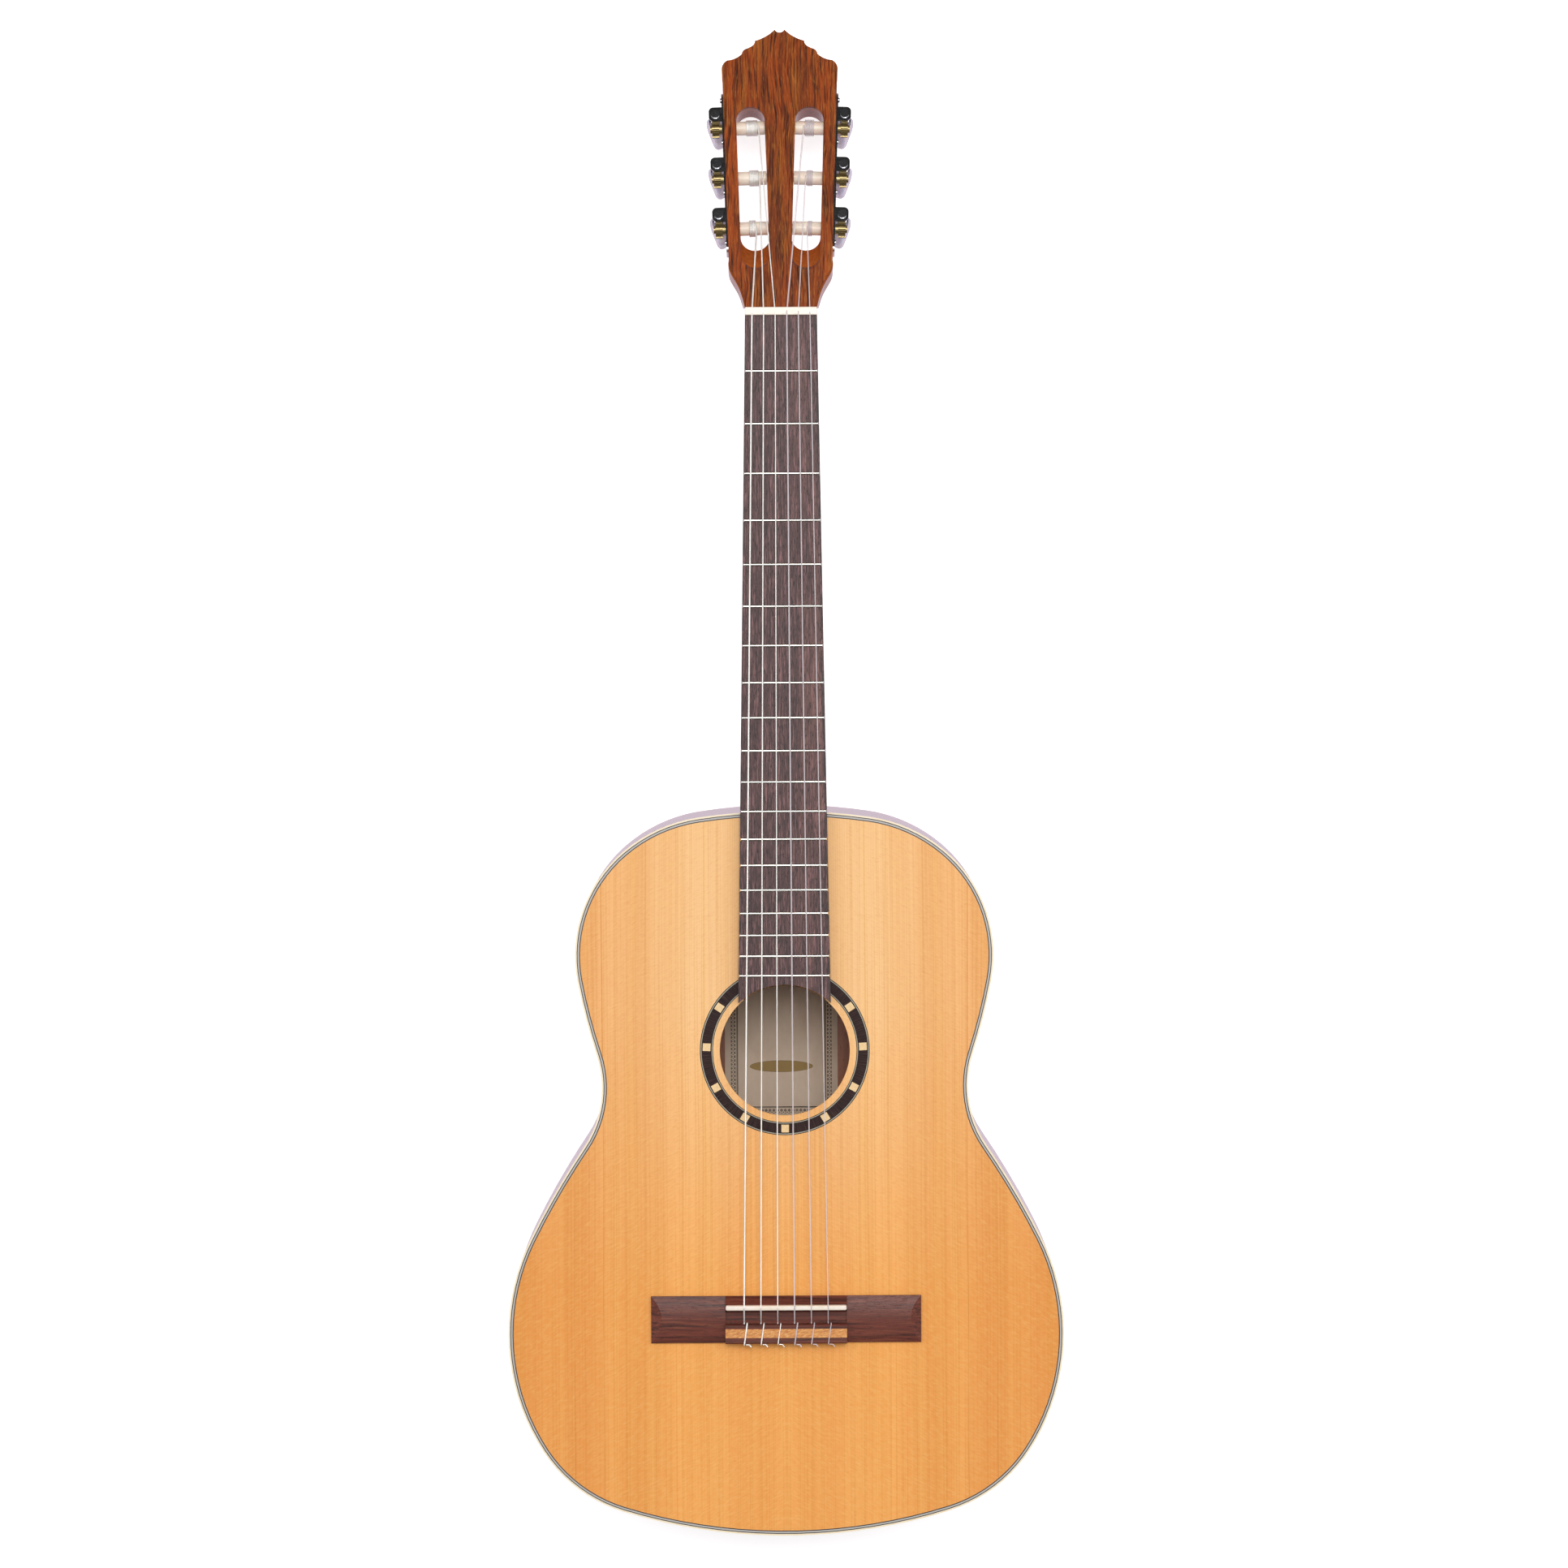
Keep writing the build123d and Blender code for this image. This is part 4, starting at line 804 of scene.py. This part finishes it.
# ---------------------------------------------------------------- stage
DARK_TURN = radians(32)
"""How far from straight above the head's face mirrors, towards the head."""


class GUITAR_OT_set_stage(Operator):
    """Set the pale floor, the camera above the guitar and soft lamps"""

    bl_idname = "guitar.set_stage"
    bl_label = "Stage"

    def add_floor(self, context):
        """A white floor that keeps a soft shadow, and can't be seen from below."""
        mesh = bmesh.new()
        bmesh.ops.create_grid(mesh, x_segments=1, y_segments=1, size=8.0)
        bmesh.ops.translate(mesh, verts=mesh.verts, vec=(0, 0, cad_box[0].z - 0.0005))
        data = bpy.data.meshes.new("floor")
        mesh.to_mesh(data)
        mesh.free()
        material, tree = start_material("White floor")
        white = add_node(tree, "BsdfDiffuse", {"Color": linear("f4f4f6")})
        path = add_node(tree, "LightPath").outputs
        inputs = (path["Is Camera Ray"], path["Is Transmission Ray"])
        seen = add_node(tree, "Math", inputs, operation="MAXIMUM")
        lift = add_node(tree, "Math", (seen, 0.6), operation="MULTIPLY")
        glow = add_node(tree, "Emission", {"Strength": lift})
        both = add_node(tree, "AddShader", (white, glow))
        # What gloss mirrors of the floor is a soft lilac grey.
        mirrored = add_node(tree, "Emission", {"Color": linear("d8c9d6")})
        shown = add_node(tree, "MixShader", (path["Is Glossy Ray"], both, mirrored))
        clear = add_node(tree, "BsdfTransparent")
        under = add_node(tree, "NewGeometry").outputs["Backfacing"]
        surface = add_node(tree, "MixShader", (under, shown, clear))
        add_node(tree, "OutputMaterial", {"Surface": surface})
        data.materials.append(material)
        floor = bpy.data.objects.new("floor", data)
        context.scene.collection.objects.link(floor)

    def add_camera(self, context):
        """Look down on the guitar, a little from its head's side."""
        sizes = context.scene.guitar_stage
        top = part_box("fingerboard")[1].z
        # It aims a hair off the middle of the guitar.
        aim = Vector((0.0004, -0.0006, top))
        eye = aim + Vector((0, sizes.camera_lead, sizes.camera_distance))
        view = (aim - eye).normalized()
        roll = sizes.camera_roll
        right = view.cross(Vector((sin(roll), cos(roll), 0))).normalized()
        up = right.cross(view)
        turn = Matrix((right, up, -view)).transposed()
        data = bpy.data.cameras.new("camera")
        data.sensor_width = 36
        data.lens = data.sensor_width * (aim - eye).length / sizes.frame_width
        data.clip_end = 50
        camera = bpy.data.objects.new("camera", data)
        camera.matrix_world = Matrix.Translation(eye) @ turn.to_4x4()
        context.scene.collection.objects.link(camera)
        context.scene.camera = camera

    def add_lamp(self, context, name, place, size, power):
        """A square soft box that points at the guitar's middle."""
        data = bpy.data.lights.new(name, "AREA")
        data.shape = "SQUARE"
        data.size = size
        data.energy = power * context.scene.guitar_stage.lamp_strength
        lamp = bpy.data.objects.new(name, data)
        lamp.location = place
        lamp.rotation_euler = (-Vector(place)).to_track_quat("-Z", "Y").to_euler()
        context.scene.collection.objects.link(lamp)

    def set_world(self, context):
        """White all round, but gloss mirrors dark ends of the room, and a dark patch where the head looks."""
        world = bpy.data.worlds.new("studio")
        context.scene.world = world
        world.use_nodes = True
        tree = world.node_tree
        tree.nodes.clear()
        path = add_node(tree, "LightPath").outputs
        facing = add_node(tree, "TexCoord").outputs["Generated"]
        inputs = (facing, (0, sin(DARK_TURN), cos(DARK_TURN)))
        near = add_node(tree, "VectorMath", inputs, operation="DOT_PRODUCT").outputs["Value"]
        start, end = cos(radians(17)), cos(radians(10))
        inputs = {"Value": near, "From Min": start, "From Max": end, "To Min": 1.0, "To Max": 0.04}
        patch = add_node(tree, "MapRange", inputs)
        along = add_node(tree, "SeparateXYZ", (facing,)).outputs["Y"]
        ends = add_node(tree, "Math", (along,), operation="ABSOLUTE")
        inputs = {"Value": ends, "From Min": 0.5, "From Max": 0.8, "To Min": 1.0, "To Max": 0.15}
        room = add_node(tree, "MapRange", inputs)
        mirrored = add_node(tree, "Math", (patch, room), operation="MULTIPLY")
        sky = context.scene.guitar_stage.sky_strength
        inputs = {"Factor": path["Is Glossy Ray"], "A": sky, "B": mirrored}
        light = add_node(tree, "Mix", inputs, data_type="FLOAT")
        inputs = (path["Is Camera Ray"], path["Is Transmission Ray"])
        seen = add_node(tree, "Math", inputs, operation="MAXIMUM")
        strength = add_node(tree, "Mix", {"Factor": seen, "A": light, "B": 1.0}, data_type="FLOAT")
        background = add_node(tree, "Background", {"Strength": strength})
        add_node(tree, "OutputWorld", {"Surface": background})

    def execute(self, context):
        self.add_floor(context)
        self.add_camera(context)
        self.set_world(context)
        # Each lamp's place and width in metres, and its power in watts.
        self.add_lamp(context, "top_box", (0.2, 1.3, 5.1), 2.4, 122)
        self.add_lamp(context, "left_box", (-2.2, 0.9, 2.4), 1.6, 14)
        self.add_lamp(context, "right_box", (2.2, 0.9, 2.4), 1.6, 18)
        context.scene.view_settings.view_transform = "Standard"
        return {"FINISHED"}


OPERATORS = (
    GUITAR_OT_set_stage,
    GUITAR_OT_finish_soundboard,
    GUITAR_OT_finish_sound_box,
    GUITAR_OT_lay_edge_lines,
    GUITAR_OT_finish_rosette,
    GUITAR_OT_finish_label,
    GUITAR_OT_finish_neck,
    GUITAR_OT_finish_head,
    GUITAR_OT_finish_bridge,
    GUITAR_OT_finish_strings,
    GUITAR_OT_finish_tuners,
)


class GUITAR_PT_finishes(Panel):
    """Everything that dresses the guitar"""

    bl_idname = "GUITAR_PT_finishes"
    bl_label = "Guitar"
    bl_space_type = "VIEW_3D"
    bl_region_type = "UI"
    bl_category = "Guitar"

    def draw(self, context):
        scene = context.scene
        for group in (scene.guitar_woods, scene.guitar_trim, scene.guitar_stage):
            box = self.layout.box()
            for name in group.__annotations__:
                box.prop(group, name)
        for operator in OPERATORS:
            self.layout.operator(operator.bl_idname)


GROUPS = {"guitar_woods": WoodColours, "guitar_trim": TrimColours, "guitar_stage": StageSizes}


def register():
    for group in GROUPS.values():
        bpy.utils.register_class(group)
    for name, group in GROUPS.items():
        setattr(bpy.types.Scene, name, PointerProperty(type=group))
    for operator in OPERATORS:
        bpy.utils.register_class(operator)
    bpy.utils.register_class(GUITAR_PT_finishes)


def unregister():
    bpy.utils.unregister_class(GUITAR_PT_finishes)
    for operator in reversed(OPERATORS):
        bpy.utils.unregister_class(operator)
    for name, group in GROUPS.items():
        delattr(bpy.types.Scene, name)
        bpy.utils.unregister_class(group)


def main():
    """Dress the guitar."""
    register()
    for operator in OPERATORS:
        group, name = operator.bl_idname.split(".")
        getattr(getattr(bpy.ops, group), name)()


if __name__ == "__main__":
    main()
